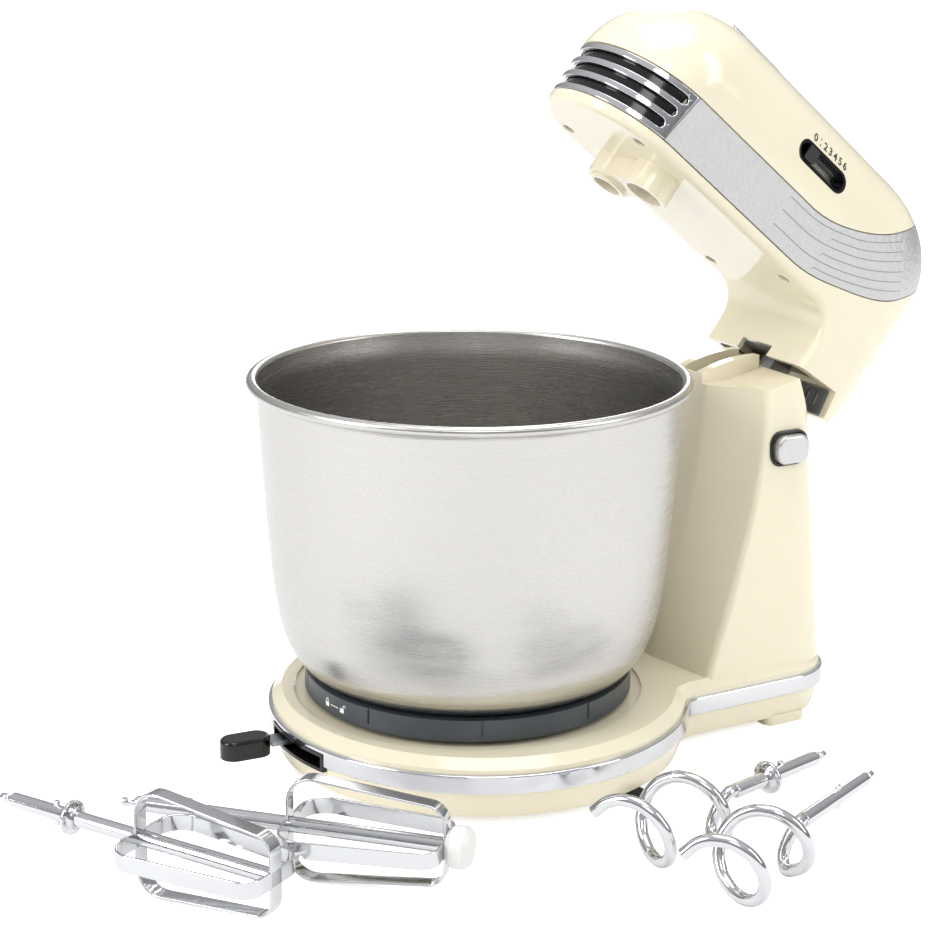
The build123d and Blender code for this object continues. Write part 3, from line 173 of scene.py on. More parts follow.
# ---------------------------------------------------------------- cream cases
# Column, base and head are injection moulded ABS in solid cream, with a polished tool's gloss.
# The moulding has a faint waviness over some centimetres and softly broken edges.
def gloss_moulding(name, colour, shade, wave_mm=28.0):
    """Gloss ABS: a slightly uneven colour, long soft waves and a very fine grain."""
    material = start_material(name)
    place = add_node(material, "ShaderNodeTexCoord")
    cloud = add_node(
        material,
        "ShaderNodeTexNoise",
        {"Vector": place.outputs["Object"], "Scale": 1000 / 60, "Detail": 2.0},
    )
    tint = add_node(material, "ShaderNodeMix", {"Factor": cloud.outputs["Fac"]}, data_type="RGBA")
    tint.inputs[6].default_value = linear(colour)
    tint.inputs[7].default_value = linear(shade)
    wave = add_node(
        material,
        "ShaderNodeTexNoise",
        {"Vector": place.outputs["Object"], "Scale": 1000 / wave_mm, "Detail": 1.0},
    )
    grain = add_node(
        material,
        "ShaderNodeTexNoise",
        {"Vector": place.outputs["Object"], "Scale": 1000 / 0.6, "Detail": 2.0},
    )
    wave_bump = add_node(
        material,
        "ShaderNodeBump",
        {"Height": wave.outputs["Fac"], "Strength": 0.06, "Distance": 0.001},
    )
    bump = add_node(
        material,
        "ShaderNodeBump",
        {
            "Height": grain.outputs["Fac"],
            "Strength": 0.04,
            "Distance": 0.0001,
            "Normal": wave_bump.outputs["Normal"],
        },
    )
    gloss = add_node(
        material,
        "ShaderNodeMapRange",
        {"Value": cloud.outputs["Fac"], "To Min": 0.1, "To Max": 0.17},
    )
    shader = add_node(
        material,
        "ShaderNodeBsdfPrincipled",
        {
            "Base Color": tint.outputs[2],
            "Roughness": gloss.outputs["Result"],
            "IOR": 1.53,
            "Normal": bump.outputs["Normal"],
            "Subsurface Weight": 0.05,
            "Subsurface Scale": 0.004,
            "Coat Weight": 0.25,
            "Coat Roughness": 0.06,
        },
    )
    add_node(material, "ShaderNodeOutputMaterial", {"Surface": shader.outputs["BSDF"]})
    return material


def dress(material, *names):
    """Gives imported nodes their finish."""
    for name in names:
        mesh = nodes[name].data
        if not mesh.materials:
            mesh.materials.append(None)
        for slot_index in range(len(mesh.materials)):
            nodes[name].material_slots[slot_index].material = material


def break_edges(width_mm, *names):
    """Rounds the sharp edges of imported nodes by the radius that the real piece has."""
    for name in names:
        weld = nodes[name].modifiers.new("weld", "WELD")
        weld.merge_threshold = 0.00002
        bevel = nodes[name].modifiers.new("broken_edges", "BEVEL")
        bevel.width = width_mm / 1000
        bevel.segments = 3
        bevel.limit_method = "ANGLE"
        bevel.angle_limit = math.radians(34)
        bevel.harden_normals = False
        bevel.use_clamp_overlap = True
        smooth = nodes[name].modifiers.new("even_faces", "WEIGHTED_NORMAL")
        smooth.keep_sharp = False
        nodes[name].data.shade_smooth()


cream_abs = gloss_moulding("cream_abs_moulded", "#EBE3CB", "#E8DFC4")
dress(cream_abs, "stand_shell", "base_lower_shell", "upper_cover", "lower_shell", "eject_bezel")
break_edges(0.8, "stand_shell", "base_lower_shell", "upper_cover", "lower_shell")

# ---------------------------------------------------------------- bright trim
# The base's band and the front grille are ABS plated with bright chrome, a mirror with faint
# long ripples where the moulding below it sank.
bright_chrome = start_material("bright_chrome_plate")
chrome_place = add_node(bright_chrome, "ShaderNodeTexCoord")
chrome_ripple = add_node(
    bright_chrome,
    "ShaderNodeTexNoise",
    {"Vector": chrome_place.outputs["Object"], "Scale": 1000 / 22, "Detail": 1.0},
)
chrome_haze = add_node(
    bright_chrome,
    "ShaderNodeTexNoise",
    {"Vector": chrome_place.outputs["Object"], "Scale": 1000 / 4, "Detail": 3.0},
)
chrome_rough = add_node(
    bright_chrome,
    "ShaderNodeMapRange",
    {"Value": chrome_haze.outputs["Fac"], "To Min": 0.03, "To Max": 0.1},
)
chrome_bump = add_node(
    bright_chrome,
    "ShaderNodeBump",
    {"Height": chrome_ripple.outputs["Fac"], "Strength": 0.08, "Distance": 0.001},
)
chrome_shader = add_node(
    bright_chrome,
    "ShaderNodeBsdfPrincipled",
    {
        "Base Color": linear("#D6D7DA"),
        "Metallic": 1.0,
        "Roughness": chrome_rough.outputs["Result"],
        "Normal": chrome_bump.outputs["Normal"],
    },
)
add_node(bright_chrome, "ShaderNodeOutputMaterial", {"Surface": chrome_shader.outputs["BSDF"]})
dress(bright_chrome, "base_trim", "front_grille")
break_edges(0.4, "base_trim", "front_grille")

# ---------------------------------------------------------------- silver band
# A plastic strip round the head, sprayed with metallic silver over a fine orange-peel texture.
# The lines scored in it have a section of their own, further down.
silver_spray = start_material("silver_sprayed_plastic")
band_place = add_node(silver_spray, "ShaderNodeTexCoord")
peel = add_node(
    silver_spray,
    "ShaderNodeTexNoise",
    {"Vector": band_place.outputs["Object"], "Scale": 1000 / 2.6, "Detail": 2.0},
)
flake = add_node(
    silver_spray,
    "ShaderNodeTexVoronoi",
    {"Vector": band_place.outputs["Object"], "Scale": 1000 / 0.8},
)
peel_bump = add_node(
    silver_spray,
    "ShaderNodeBump",
    {"Height": peel.outputs["Fac"], "Strength": 0.5, "Distance": 0.0009},
)
flake_shift = add_node(
    silver_spray,
    "ShaderNodeMix",
    {"Factor": flake.outputs["Distance"]},
    data_type="RGBA",
)
flake_shift.inputs[6].default_value = linear("#CFCFCE")
flake_shift.inputs[7].default_value = linear("#C0C0BF")
spray_shader = add_node(
    silver_spray,
    "ShaderNodeBsdfPrincipled",
    {
        "Base Color": flake_shift.outputs[2],
        "Metallic": 0.7,
        "Roughness": 0.42,
        "Normal": peel_bump.outputs["Normal"],
    },
)
add_node(silver_spray, "ShaderNodeOutputMaterial", {"Surface": spray_shader.outputs["BSDF"]})
dress(silver_spray, "side_band")
break_edges(0.3, "side_band")

# ---------------------------------------------------------------- dark satin mouldings
# Turning ring under the bowl: glass-filled nylon, moulded in dark blue-grey with an etched satin
# face. The vent cover behind the neck and the small inner mouldings are its plain relations.
def satin_moulding(name, colour, roughness, grain_mm):
    """Etched plastic: a fine even grain that softens the light."""
    material = start_material(name)
    place = add_node(material, "ShaderNodeTexCoord")
    grain = add_node(
        material,
        "ShaderNodeTexNoise",
        {"Vector": place.outputs["Object"], "Scale": 1000 / grain_mm, "Detail": 4.0},
    )
    bump = add_node(
        material,
        "ShaderNodeBump",
        {"Height": grain.outputs["Fac"], "Strength": 0.15, "Distance": 0.0002},
    )
    rough = add_node(
        material,
        "ShaderNodeMapRange",
        {"Value": grain.outputs["Fac"], "To Min": roughness - 0.06, "To Max": roughness + 0.06},
    )
    shader = add_node(
        material,
        "ShaderNodeBsdfPrincipled",
        {
            "Base Color": linear(colour),
            "Roughness": rough.outputs["Result"],
            "IOR": 1.5,
            "Normal": bump.outputs["Normal"],
        },
    )
    add_node(material, "ShaderNodeOutputMaterial", {"Surface": shader.outputs["BSDF"]})
    return material


ring_nylon = satin_moulding("dark_grey_nylon_etched", "#3F4449", 0.38, 0.9)
vent_grey = satin_moulding("grey_abs_etched", "#5A5C60", 0.35, 0.9)
gloss_black = satin_moulding("black_abs_polished", "#0B0B0C", 0.14, 2.5)
soft_rubber = satin_moulding("black_rubber_moulded", "#0D0D0D", 0.62, 0.7)
natural_nylon = satin_moulding("natural_nylon_moulded", "#DAD6C8", 0.45, 0.8)
dress(ring_nylon, "turntable_ring")
dress(vent_grey, "neck_vent_cover", "socket_rings")
dress(
    gloss_black,
    "lever_knob",
    "speed_bezel",
    "speed_slider",
    "button_bezel",
    "lever_slot_liner",
    "cooling_fan",
    "grille_backing",
)
dress(soft_rubber, "front_feet", "cord_grommet")
dress(
    natural_nylon,
    "turntable_bush",
    "turntable_post",
    "carriage_pivot",
    "speed_switch",
    "gearbox_housing",
    "left_worm_wheel",
    "right_worm_wheel",
)
break_edges(0.5, "turntable_ring", "lever_knob", "speed_slider", "front_feet")
break_edges(0.3, "neck_vent_cover", "speed_bezel", "button_bezel")


# ---------------------------------------------------------------- metal inside
# Brackets and the lever are zinc-plated sheet; shafts, pin and screws are ground steel; the motor
# has laminated cores, a copper commutator and sintered bronze bushes.
def plain_metal(name, colour, roughness, streak_mm):
    """Worked metal: one colour with fine streaks along one way."""
    material = start_material(name)
    place = add_node(material, "ShaderNodeTexCoord")
    stretch = add_node(
        material,
        "ShaderNodeMapping",
        {
            "Vector": place.outputs["Object"],
            "Scale": (1000 / streak_mm, 1000 / (30 * streak_mm), 1000 / streak_mm),
        },
    )
    streak = add_node(
        material,
        "ShaderNodeTexNoise",
        {"Vector": stretch.outputs["Vector"], "Scale": 1.0, "Detail": 3.0},
    )
    rough = add_node(
        material,
        "ShaderNodeMapRange",
        {"Value": streak.outputs["Fac"], "To Min": roughness - 0.07, "To Max": roughness + 0.07},
    )
    bump = add_node(
        material,
        "ShaderNodeBump",
        {"Height": streak.outputs["Fac"], "Strength": 0.1, "Distance": 0.0001},
    )
    shader = add_node(
        material,
        "ShaderNodeBsdfPrincipled",
        {
            "Base Color": linear(colour),
            "Metallic": 1.0,
            "Roughness": rough.outputs["Result"],
            "Normal": bump.outputs["Normal"],
        },
    )
    add_node(material, "ShaderNodeOutputMaterial", {"Surface": shader.outputs["BSDF"]})
    return material


zinc_sheet = plain_metal("steel_sheet_zinc_plated", "#A9ADB2", 0.34, 0.6)
ground_steel = plain_metal("steel_ground", "#B4B5B7", 0.22, 0.4)
spring_wire = plain_metal("spring_steel_drawn", "#8C8D90", 0.3, 0.3)
core_sheet = plain_metal("electrical_steel_laminated", "#55565A", 0.5, 0.5)
cast_iron = plain_metal("cast_iron_raw", "#3C3C3D", 0.6, 1.2)
copper_bar = plain_metal("copper_turned", "#B87445", 0.3, 0.5)
bronze_bush = plain_metal("bronze_sintered", "#8A6A3C", 0.5, 0.4)
dress(zinc_sheet, "carriage_plate", "lever_arm", "hinge_bracket", "hinge_arm", "motor_bracket")
dress(
    ground_steel,
    "hinge_pin",
    "stand_screws",
    "head_screws",
    "motor_shaft",
    "left_spindle",
    "right_spindle",
)
dress(spring_wire, "tilt_spring", "button_spring", "eject_spring")
dress(core_sheet, "motor_stator", "rotor_core")
dress(cast_iron, "base_weight")
dress(copper_bar, "commutator")
dress(bronze_bush, "motor_bushes", "brush_holders")

# ---------------------------------------------------------------- release and eject buttons
# The release button is a rounded key sprayed satin silver in a black well; the eject button on
# the crown is the same silver.
silver_key = start_material("silver_sprayed_key")
key_place = add_node(silver_key, "ShaderNodeTexCoord")
key_flake = add_node(
    silver_key,
    "ShaderNodeTexNoise",
    {"Vector": key_place.outputs["Object"], "Scale": 1000 / 0.5, "Detail": 3.0},
)
key_rough = add_node(
    silver_key,
    "ShaderNodeMapRange",
    {"Value": key_flake.outputs["Fac"], "To Min": 0.22, "To Max": 0.34},
)
key_shader = add_node(
    silver_key,
    "ShaderNodeBsdfPrincipled",
    {
        "Base Color": linear("#C9C9C8"),
        "Metallic": 0.75,
        "Roughness": key_rough.outputs["Result"],
        "Coat Weight": 0.3,
    },
)
add_node(silver_key, "ShaderNodeOutputMaterial", {"Surface": key_shader.outputs["BSDF"]})
dress(silver_key, "release_button", "eject_button")
break_edges(0.6, "release_button", "eject_button")

# ---------------------------------------------------------------- mixing bowl
# Deep-drawn stainless bowl, its rim rolled into a bead over a wire and its wall brushed round and
# round on a lathe, inside and out. The brushing draws the light out into upright streaks.
brushed_stainless = start_material("stainless_steel_brushed_round")
steel_place = add_node(brushed_stainless, "ShaderNodeTexCoord")
BRUSH_LINE_MM = 0.35
steel_split = add_node(
    brushed_stainless,
    "ShaderNodeSeparateXYZ",
    {"Vector": steel_place.outputs["Object"]},
)
steel_turn = add_node(
    brushed_stainless,
    "ShaderNodeMath",
    {0: steel_split.outputs["Y"], 1: steel_split.outputs["X"]},
    operation="ARCTAN2",
)
steel_lines_at = add_node(
    brushed_stainless,
    "ShaderNodeCombineXYZ",
    {"X": steel_turn.outputs["Value"], "Z": steel_split.outputs["Z"]},
)
steel_stretch = add_node(
    brushed_stainless,
    "ShaderNodeMapping",
    {"Vector": steel_lines_at.outputs["Vector"], "Scale": (2.4, 1.0, 1000 / BRUSH_LINE_MM)},
)
steel_lines = add_node(
    brushed_stainless,
    "ShaderNodeTexNoise",
    {"Vector": steel_stretch.outputs["Vector"], "Scale": 1.0, "Detail": 5.0},
)
steel_rough = add_node(
    brushed_stainless,
    "ShaderNodeMapRange",
    {"Value": steel_lines.outputs["Fac"], "To Min": 0.23, "To Max": 0.31},
)
steel_tone = add_node(
    brushed_stainless,
    "ShaderNodeMix",
    {"Factor": steel_lines.outputs["Fac"]},
    data_type="RGBA",
)
steel_tone.inputs[6].default_value = linear("#C2C0BD")
steel_tone.inputs[7].default_value = linear("#CBC9C6")
steel_bump = add_node(
    brushed_stainless,
    "ShaderNodeBump",
    {"Height": steel_lines.outputs["Fac"], "Strength": 0.05, "Distance": 0.0001},
)
steel_along = add_node(brushed_stainless, "ShaderNodeTangent", direction_type="RADIAL", axis="Z")
steel_shader = add_node(
    brushed_stainless,
    "ShaderNodeBsdfPrincipled",
    {
        "Base Color": steel_tone.outputs[2],
        "Metallic": 1.0,
        "Roughness": steel_rough.outputs["Result"],
        "Anisotropic": 0.75,
        "Tangent": steel_along.outputs["Tangent"],
        "Normal": steel_bump.outputs["Normal"],
    },
)
add_node(brushed_stainless, "ShaderNodeOutputMaterial", {"Surface": steel_shader.outputs["BSDF"]})


def turned(name, profile, segments=192):
    """A piece spun on a lathe: its profile, radius and height in mm, swept round the upright axis."""
    mesh = bpy.data.meshes.new(name)
    form = bmesh.new()
    rings = []
    for radius, height in profile:
        if radius < 0.001:
            rings.append([form.verts.new((0, 0, height / 1000))])
            continue
        rings.append([
            form.verts.new((
                radius / 1000 * math.cos(2 * math.pi * i / segments),
                radius / 1000 * math.sin(2 * math.pi * i / segments),
                height / 1000,
            ))
            for i in range(segments)
        ])
    for low, high in zip(rings, rings[1:]):
        for i in range(segments):
            j = (i + 1) % segments
            if len(low) == 1:
                form.faces.new((low[0], high[j], high[i]))
            elif len(high) == 1:
                form.faces.new((low[i], low[j], high[0]))
            else:
                form.faces.new((low[i], low[j], high[j], high[i]))
    bmesh.ops.recalc_face_normals(form, faces=form.faces)
    form.to_mesh(mesh)
    form.free()
    mesh.shade_smooth()
    made = bpy.data.objects.new(name, mesh)
    scene.collection.objects.link(made)
    return made


BOWL_SHEET = 0.9
OUTSIDE = [
    (0, 40.0), (40, 40.0), (60, 40.0), (64, 40.0), (69, 41.2), (74.2, 44.6), (77.6, 48.4),
    (80.6, 53.6), (83.0, 59.8), (84.7, 66.0),
    (86.4, 76.0), (87.6, 86.0), (88.5, 96.0), (89.2, 104.0), (90.2, 118.0), (91.1, 132.0),
    (91.9, 146.0), (92.6, 160.0), (92.95, 167.0),
    (93.3, 169.4), (94.2, 169.7),
]
bead = []
for step in range(15):
    turn = math.radians(-100 + 20 * step)
    bead.append((95.2 + 2.3 * math.cos(turn), 171.9 + 2.3 * math.sin(turn)))
inside = [(max(r - BOWL_SHEET, 0), z + (BOWL_SHEET if z < 45 else 0.25)) for r, z in OUTSIDE[:-2]]
bowl_wall = turned("bowl_wall", OUTSIDE + bead + [(92.9, 171.4)] + inside[::-1])
bowl_wall.data.materials.append(brushed_stainless)
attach(bowl_wall, "bowl_body")
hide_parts("bowl")
dress(brushed_stainless, "bowl_foot")

# ---------------------------------------------------------------- lock marks on the ring
# Padlock, dash and open padlock, pad printed in white on the ring's front left.
white_ink = satin_moulding("white_pad_print_ink", "#ECECEA", 0.5, 0.3)
RING_FACE_R = 73.75
MARK_Z = 36.4


def ring_point(along_mm, height_mm):
    """A point on the ring's face: a way round from the mark's middle, and a height."""
    turn = math.radians(-81.3) + along_mm / RING_FACE_R
    radius = (RING_FACE_R - (height_mm - 31.6) * math.tan(math.radians(1.5)) + 0.06) / 1000
    return Vector((radius * math.cos(turn), radius * math.sin(turn), height_mm / 1000))


def printed(name, loops):
    """Flat patches of ink laid on the ring, one for each outline."""
    mesh = bpy.data.meshes.new(name)
    form = bmesh.new()
    for outline in loops:
        corners = [form.verts.new(ring_point(*point)) for point in outline]
        form.faces.new(corners)
    bmesh.ops.recalc_face_normals(form, faces=form.faces)
    form.to_mesh(mesh)
    form.free()
    made = bpy.data.objects.new(name, mesh)
    made.data.materials.append(white_ink)
    ink = made.modifiers.new("ink_film", "SOLIDIFY")
    ink.thickness = 0.00006
    ink.offset = 0
    scene.collection.objects.link(made)
    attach(made, "turntable")
    return made


def padlock(middle, opened):
    """Outlines of a padlock's body and its bow, which stands to one side when it is open."""
    left, right_edge, low, high = middle - 1.3, middle + 1.3, MARK_Z - 1.6, MARK_Z + 0.4
    body = [(left, low), (right_edge, low), (right_edge, high), (left, high)]
    pieces = [body]
    bow_at = middle + (1.5 if opened else 0)
    arc = [math.radians(180 - 20 * k) for k in range(10)]
    for start, end in zip(arc, arc[1:]):
        pieces.append([
            (bow_at + 1.0 * math.cos(start), MARK_Z + 1.1 + 1.0 * math.sin(start)),
            (bow_at + 0.6 * math.cos(start), MARK_Z + 1.1 + 0.6 * math.sin(start)),
            (bow_at + 0.6 * math.cos(end), MARK_Z + 1.1 + 0.6 * math.sin(end)),
            (bow_at + 1.0 * math.cos(end), MARK_Z + 1.1 + 1.0 * math.sin(end)),
        ])
    for side in ((-1,) if opened else (-1, 1)):
        near, far = bow_at + side * 1.0, bow_at + side * 0.6
        pieces.append(
            [(near, MARK_Z + 0.4), (far, MARK_Z + 0.4), (far, MARK_Z + 1.1), (near, MARK_Z + 1.1)],
        )
    return pieces


dash = [[(-3.0, MARK_Z - 0.4), (2.6, MARK_Z - 0.4), (2.6, MARK_Z), (-3.0, MARK_Z)]]
printed("ring_lock_marks", padlock(-5.6, False) + dash + padlock(5.2, True))

# ---------------------------------------------------------------- speed figures
# The figures 0 to 6 beside the speed slider, pad printed in black on the cream cover.
black_ink = satin_moulding("black_pad_print_ink", "#141414", 0.5, 0.3)
TILT = math.radians(39)
HINGE = Vector((0, 0.147, 0.133))


def raised(x_mm, y_mm, z_mm):
    """Where a point of the level head stands with the head turned up."""
    point = Vector((x_mm, y_mm, z_mm)) / 1000
    return Matrix.Rotation(-TILT, 4, "X") @ (point - HINGE) + HINGE


def wrapped_on(name, node, mesh, frame_at, lift_mm):
    """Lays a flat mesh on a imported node: each point goes along the frame's Z till it meets it."""
    surface = BVHTree.FromPolygons(
        [v.co for v in nodes[node].data.vertices], [p.vertices for p in nodes[node].data.polygons]
    )
    inward = (frame_at.to_3x3() @ Vector((0, 0, -1))).normalized()
    for vertex in mesh.vertices:
        start = frame_at @ vertex.co - inward * 0.03
        met = surface.ray_cast(start, inward, 0.08)[0]
        vertex.co = (met if met else start + inward * 0.03) - inward * lift_mm / 1000
    made = bpy.data.objects.new(name, mesh)
    scene.collection.objects.link(made)
    return made


DIGIT_MM = 3.4
FIGURE_PITCH_MM = 3.7
FIRST_FIGURE_MM = 68.3
FIGURE_HEIGHT_MM = 247.4
# read from the column's side: each figure's foot points at the band
forward_y = Matrix.Rotation(-TILT, 4, "X") @ Vector((0, 1, 0))
upward = Matrix.Rotation(-TILT, 4, "X") @ Vector((0, 0, 1))
outward = Vector((1, 0, 0))
for speed in range(7):
    glyph = bpy.data.curves.new(f"figure_{speed}", "FONT")
    glyph.body = str(speed)
    glyph.size = DIGIT_MM * 1.5 / 1000
    glyph.align_x = "CENTER"
    glyph.align_y = "CENTER"
    glyph.resolution_u = 6
    glyph.offset = 0.00014
    lettering = bpy.data.objects.new(f"figure_{speed}", glyph)
    scene.collection.objects.link(lettering)
    outline = bpy.data.meshes.new_from_object(lettering)
    bpy.data.objects.remove(lettering)
    spot = raised(39, FIRST_FIGURE_MM + FIGURE_PITCH_MM * speed, FIGURE_HEIGHT_MM)
    seat = Matrix((forward_y, upward, outward)).transposed().to_4x4()
    seat.translation = spot
    figure = wrapped_on(f"speed_figure_{speed}", "upper_cover", outline, seat, 0.05)
    figure.data.materials.append(black_ink)
    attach(figure, "head")

# ---------------------------------------------------------------- lines in the band
# Fine lines scored in the silver band, laid on it as thin grey ribbons whose grey is painted
# shade in the grooves: three start beside the speed slider and three more between them, and all
# sweep up round the rear with the band.
BAND_FOOT_MM = 197
BESIDE_BAND_MM = 45


def scored_line(side, start_y, lift_mm):
    """Points of one line, level along the band and then rising with it, in the level head."""
    low = BAND_FOOT_MM + lift_mm
    turns = [
        (90 - 0.3 * lift_mm, low),
        (125 - 0.5 * lift_mm, low + 7),
        (156 - 0.8 * lift_mm, low + 22),
    ]
    line = [(start_y, low)]
    for (y0, z0), (y1, z1), slope0, slope1 in (
        (*turns[:2], 0.0, 0.36),
        (*turns[1:], 0.36, 0.75),
    ):
        run = y1 - y0
        for step in range(12):
            t = step / 12
            rise = (2 * t**3 - 3 * t**2 + 1) * z0 + (t**3 - 2 * t**2 + t) * run * slope0
            rise += (3 * t**2 - 2 * t**3) * z1 + (t**3 - t**2) * run * slope1
            line.append((y0 + run * t, rise))
    line += [(turns[2][0] + step, turns[2][1] + 0.9 * step) for step in (0, 4, 8, 12)]
    return [(side * BESIDE_BAND_MM, y, z) for y, z in line if y >= start_y]


LINE_HALF_MM = 0.24
LINES = ((71, 6.6), (71, 14), (71, 21), (102, 3.2), (102, 10.2), (102, 17.4))
band_surface = BVHTree.FromPolygons(
    [v.co for v in nodes["side_band"].data.vertices],
    [p.vertices for p in nodes["side_band"].data.polygons],
)
scored = bmesh.new()
for side in (-1, 1):
    for start_y, lift_mm in LINES:
        rows = []
        for x, y, z in scored_line(side, start_y, lift_mm):
            row = []
            for offset in (-LINE_HALF_MM, LINE_HALF_MM):
                start = raised(x, y, z + offset)
                met, normal = band_surface.ray_cast(start, Vector((-side, 0, 0)), 0.045)[:2]
                if met and normal.x * side > 0.12:
                    row.append(met + normal * 0.00004)
            if len(row) == 2:
                rows.append([scored.verts.new(point) for point in row])
        for near, far in zip(rows, rows[1:]):
            if (near[0].co - far[0].co).length < 0.04:
                scored.faces.new((near[0], near[1], far[1], far[0]))
line_mesh = bpy.data.meshes.new("band_lines")
bmesh.ops.recalc_face_normals(scored, faces=scored.faces)
scored.to_mesh(line_mesh)
scored.free()
band_lines = bpy.data.objects.new("band_lines", line_mesh)
# the ribbons' grey is painted shade, standing for the shadow inside the scored lines
line_mesh.materials.append(satin_moulding("grey_painted_groove_shade", "#8C8C8B", 0.5, 0.3))
scene.collection.objects.link(band_lines)
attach(band_lines, "head")

# ---------------------------------------------------------------- beaters and dough hooks
# Rolled steel strip and drawn rod, polished and plated with bright chrome. Each beater is two
# closed strips crossing at right angles on a grooved shaft; each hook is a rod bent to a coil.
def laid(tip, heading_deg, height):
    """The place of a tool on the table: its tip, the way its shaft points, and its axis height."""
    laid_down = Matrix.Rotation(math.radians(90), 4, "Y")
    turn = Matrix.Rotation(math.radians(heading_deg), 4, "Z") @ laid_down
    return Matrix.Translation(Vector((tip[0], tip[1], height)) / 1000) @ turn


def swept_strip(path, width, thickness):
    """A closed strip bent round a path, in the XZ plane, its width along Y and its edges rounded."""
    across, face, rim = width / 2, thickness / 2, thickness * 0.3
    flat = across - thickness * 0.4
    section = [
        (-across, -rim), (-flat, -face), (flat, -face), (across, -rim),
        (across, rim), (flat, face), (-flat, face), (-across, rim),
    ]
    form = bmesh.new()
    rings = []
    count = len(path)
    for k in range(count):
        before, at, after = path[k - 1], path[k], path[(k + 1) % count]
        run = Vector((after[0] - before[0], after[1] - before[1])).normalized()
        normal = Vector((-run.y, run.x))
        rings.append([
            form.verts.new(Vector((at[0] + normal.x * t, w, at[1] + normal.y * t)) / 1000)
            for w, t in section
        ])
    for k in range(count):
        a, b = rings[k], rings[(k + 1) % count]
        for i in range(len(section)):
            j = (i + 1) % len(section)
            form.faces.new((a[i], a[j], b[j], b[i]))
    return form


def rounded_path(corners, radii, steps=9):
    """A closed outline with its corners rounded."""
    path = []
    count = len(corners)
    for k in range(count):
        at = Vector(corners[k])
        back = (Vector(corners[k - 1]) - at).normalized()
        ahead = (Vector(corners[(k + 1) % count]) - at).normalized()
        half = back.angle(ahead) / 2
        reach = radii[k] / math.tan(half)
        centre = at + (back + ahead).normalized() * radii[k] / math.sin(half)
        start, end = at + back * reach, at + ahead * reach
        a0 = math.atan2(start.y - centre.y, start.x - centre.x)
        a1 = math.atan2(end.y - centre.y, end.x - centre.x)
        sweep = (a1 - a0 + math.pi) % (2 * math.pi) - math.pi
        for s in range(steps + 1):
            angle = a0 + sweep * s / steps
            path.append(
                (centre.x + radii[k] * math.cos(angle), centre.y + radii[k] * math.sin(angle)),
            )
    return path


tool_chrome = start_material("steel_polished_chrome_plated")
tool_place = add_node(tool_chrome, "ShaderNodeTexCoord")
tool_haze = add_node(
    tool_chrome,
    "ShaderNodeTexNoise",
    {"Vector": tool_place.outputs["Object"], "Scale": 1000 / 3, "Detail": 4.0},
)
tool_rough = add_node(
    tool_chrome,
    "ShaderNodeMapRange",
    {"Value": tool_haze.outputs["Fac"], "To Min": 0.05, "To Max": 0.16},
)
tool_bump = add_node(
    tool_chrome,
    "ShaderNodeBump",
    {"Height": tool_haze.outputs["Fac"], "Strength": 0.04, "Distance": 0.0004},
)
tool_shader = add_node(
    tool_chrome,
    "ShaderNodeBsdfPrincipled",
    {
        "Base Color": linear("#CFD0D2"),
        "Metallic": 1.0,
        "Roughness": tool_rough.outputs["Result"],
        "Normal": tool_bump.outputs["Normal"],
    },
)
add_node(tool_chrome, "ShaderNodeOutputMaterial", {"Surface": tool_shader.outputs["BSDF"]})

SHAFT_R = 3.2
COLLAR_R = 7.2
TOOL_LENGTH = 138.0
CAGE_LENGTH = 66.0
CAGE_AXIS = 22.4
SHEET = 1.1
BLADE_WIDTH = 7.0
SHOULDER_HALF, FOOT_HALF = 22.4, 16.0
COIL_AXIS = 18.0
PIN_LOW, PIN_HIGH = (-5.3, -1.0, 28.8), (5.3, 1.0, 31.2)


def shaft_outline(end, collared):
    """A shaft's lathe profile from its domed tip to where its wire or strips begin."""
    profile = [
        (0.001, 0.05),
        (1.2, 0.2),
        (1.75, 0.7),
        (1.8, 3.3),
        (1.25, 3.9),
        (1.2, 5.1),
        (2.1, 5.9),
        (2.9, 6.6),
        (SHAFT_R, 7.2),
    ]
    if collared:
        profile += [
            (SHAFT_R, 35.4),
            (4.6, 35.7),
            (4.7, 37.0),
            (COLLAR_R - 0.3, 37.2),
            (COLLAR_R - 0.05, 37.5),
            (COLLAR_R - 0.05, 38.5),
            (COLLAR_R - 0.3, 38.8),
            (4.7, 39.0),
            (4.6, 40.3),
            (SHAFT_R, 40.6),
        ]
    return profile + [(SHAFT_R, end - 1), (SHAFT_R - 0.6, end - 0.1), (0, end - 0.05)]


def joined(name, parts, tip, heading, height, body, node):
    """One tool from its pieces, laid in place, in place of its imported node."""
    whole = bmesh.new()
    for part in parts:
        whole.from_mesh(part)
    pin = bmesh.ops.create_cube(whole, size=1.0)["verts"]
    for vertex in pin:
        for axis in range(3):
            vertex.co[axis] = (PIN_HIGH if vertex.co[axis] > 0 else PIN_LOW)[axis] / 1000
    edges = {edge for vertex in pin for edge in vertex.link_edges}
    bmesh.ops.bevel(
        whole, geom=list(edges), offset=0.0004, segments=2, affect="EDGES", profile=0.5
    )
    mesh = bpy.data.meshes.new(name)
    whole.to_mesh(mesh)
    whole.free()
    mesh.shade_smooth()
    mesh.transform(laid(tip, heading, height))
    mesh.materials.append(tool_chrome)
    tool = bpy.data.objects.new(name, mesh)
    scene.collection.objects.link(tool)
    even = tool.modifiers.new("even_faces", "WEIGHTED_NORMAL")
    even.keep_sharp = False
    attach(tool, body)
    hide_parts(node)


def spun(name, profile):
    """A lathe form as a mesh alone."""
    form = turned(name, profile, 48)
    mesh = form.data
    bpy.data.objects.remove(form)
    return mesh


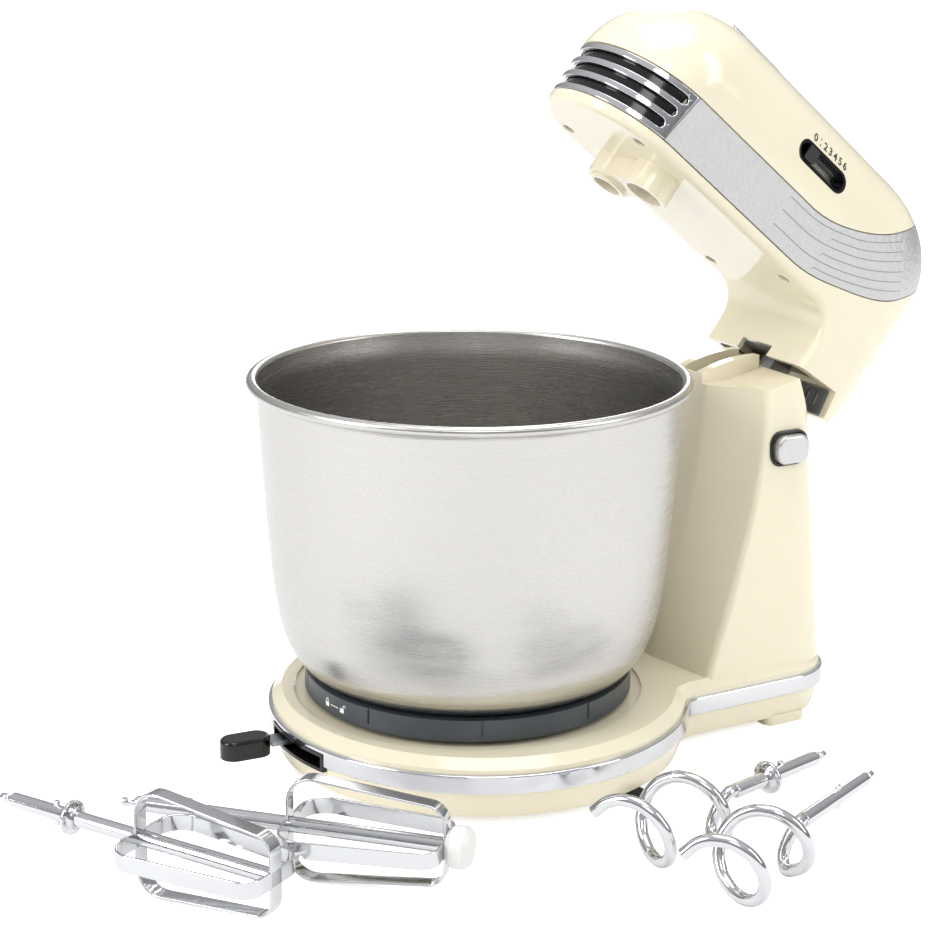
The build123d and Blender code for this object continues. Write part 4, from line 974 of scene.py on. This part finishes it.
BEATERS = (
    ("beater_with_collar", True, (2.0, -219.2), 28.8, "beater_one", "beater_collared"),
    ("beater_without_collar", False, (30.1, -178.3), 43.6, "beater_two", "beater_plain"),
)
top, foot = TOOL_LENGTH - CAGE_LENGTH + SHEET / 2, TOOL_LENGTH - SHEET / 2
for name, collared, tip, heading, body, node in BEATERS:
    pieces = [spun(name + "_shaft", shaft_outline(TOOL_LENGTH - 1, collared))]
    corners = [(-SHOULDER_HALF, top), (SHOULDER_HALF, top), (FOOT_HALF, foot), (-FOOT_HALF, foot)]
    loop = rounded_path(corners, [10.5, 10.5, 7.5, 7.5])
    for quarter in (0, 1):
        strip = swept_strip(loop, BLADE_WIDTH, SHEET)
        strip.transform(Matrix.Rotation(math.radians(90 * quarter), 4, "Z"))
        strip_mesh = bpy.data.meshes.new(name + "_strip")
        bmesh.ops.recalc_face_normals(strip, faces=strip.faces)
        strip.to_mesh(strip_mesh)
        strip.free()
        pieces.append(strip_mesh)
    joined(name, pieces, tip, heading, CAGE_AXIS, body, node)

COIL_R, COIL_PITCH, COIL_START = 15.0, 34.0, 70.0
HOOKS = (
    ("hook_with_collar", True, (121.5, 108.6), -77.4, "hook_one", "dough_hook_collared"),
    ("hook_without_collar", False, (148.0, 112.6), -67.5, "hook_two", "dough_hook_plain"),
)
route = [(0, 0, COIL_START - 14), (0, 0, COIL_START - 6)]
for step in range(21):
    turn, rise = math.radians(30 * step), COIL_START + 3 + COIL_PITCH * step / 12
    route.append((COIL_R * math.cos(turn), COIL_R * math.sin(turn), rise))
for name, collared, tip, heading, body, node in HOOKS:
    wire = bpy.data.curves.new(name + "_wire", "CURVE")
    wire.dimensions = "3D"
    wire.bevel_depth = 0.0026
    wire.bevel_resolution = 8
    wire.use_fill_caps = True
    spline = wire.splines.new("BEZIER")
    spline.bezier_points.add(len(route) - 1)
    spline.resolution_u = 8
    for point, at in zip(spline.bezier_points, route):
        point.co = Vector(at) / 1000
        point.handle_left_type = point.handle_right_type = "AUTO"
    drawn = bpy.data.objects.new(name + "_wire", wire)
    scene.collection.objects.link(drawn)
    wire_mesh = bpy.data.meshes.new_from_object(drawn)
    bpy.data.objects.remove(drawn)
    pieces = [spun(name + "_shaft", shaft_outline(COIL_START - 10, collared)), wire_mesh]
    joined(name, pieces, tip, heading, COIL_AXIS, body, node)

hub_plastic = satin_moulding("pale_nylon_hub", "#DCDCD8", 0.3, 1.2)
dress(hub_plastic, "beater_hub")
break_edges(0.8, "beater_hub")
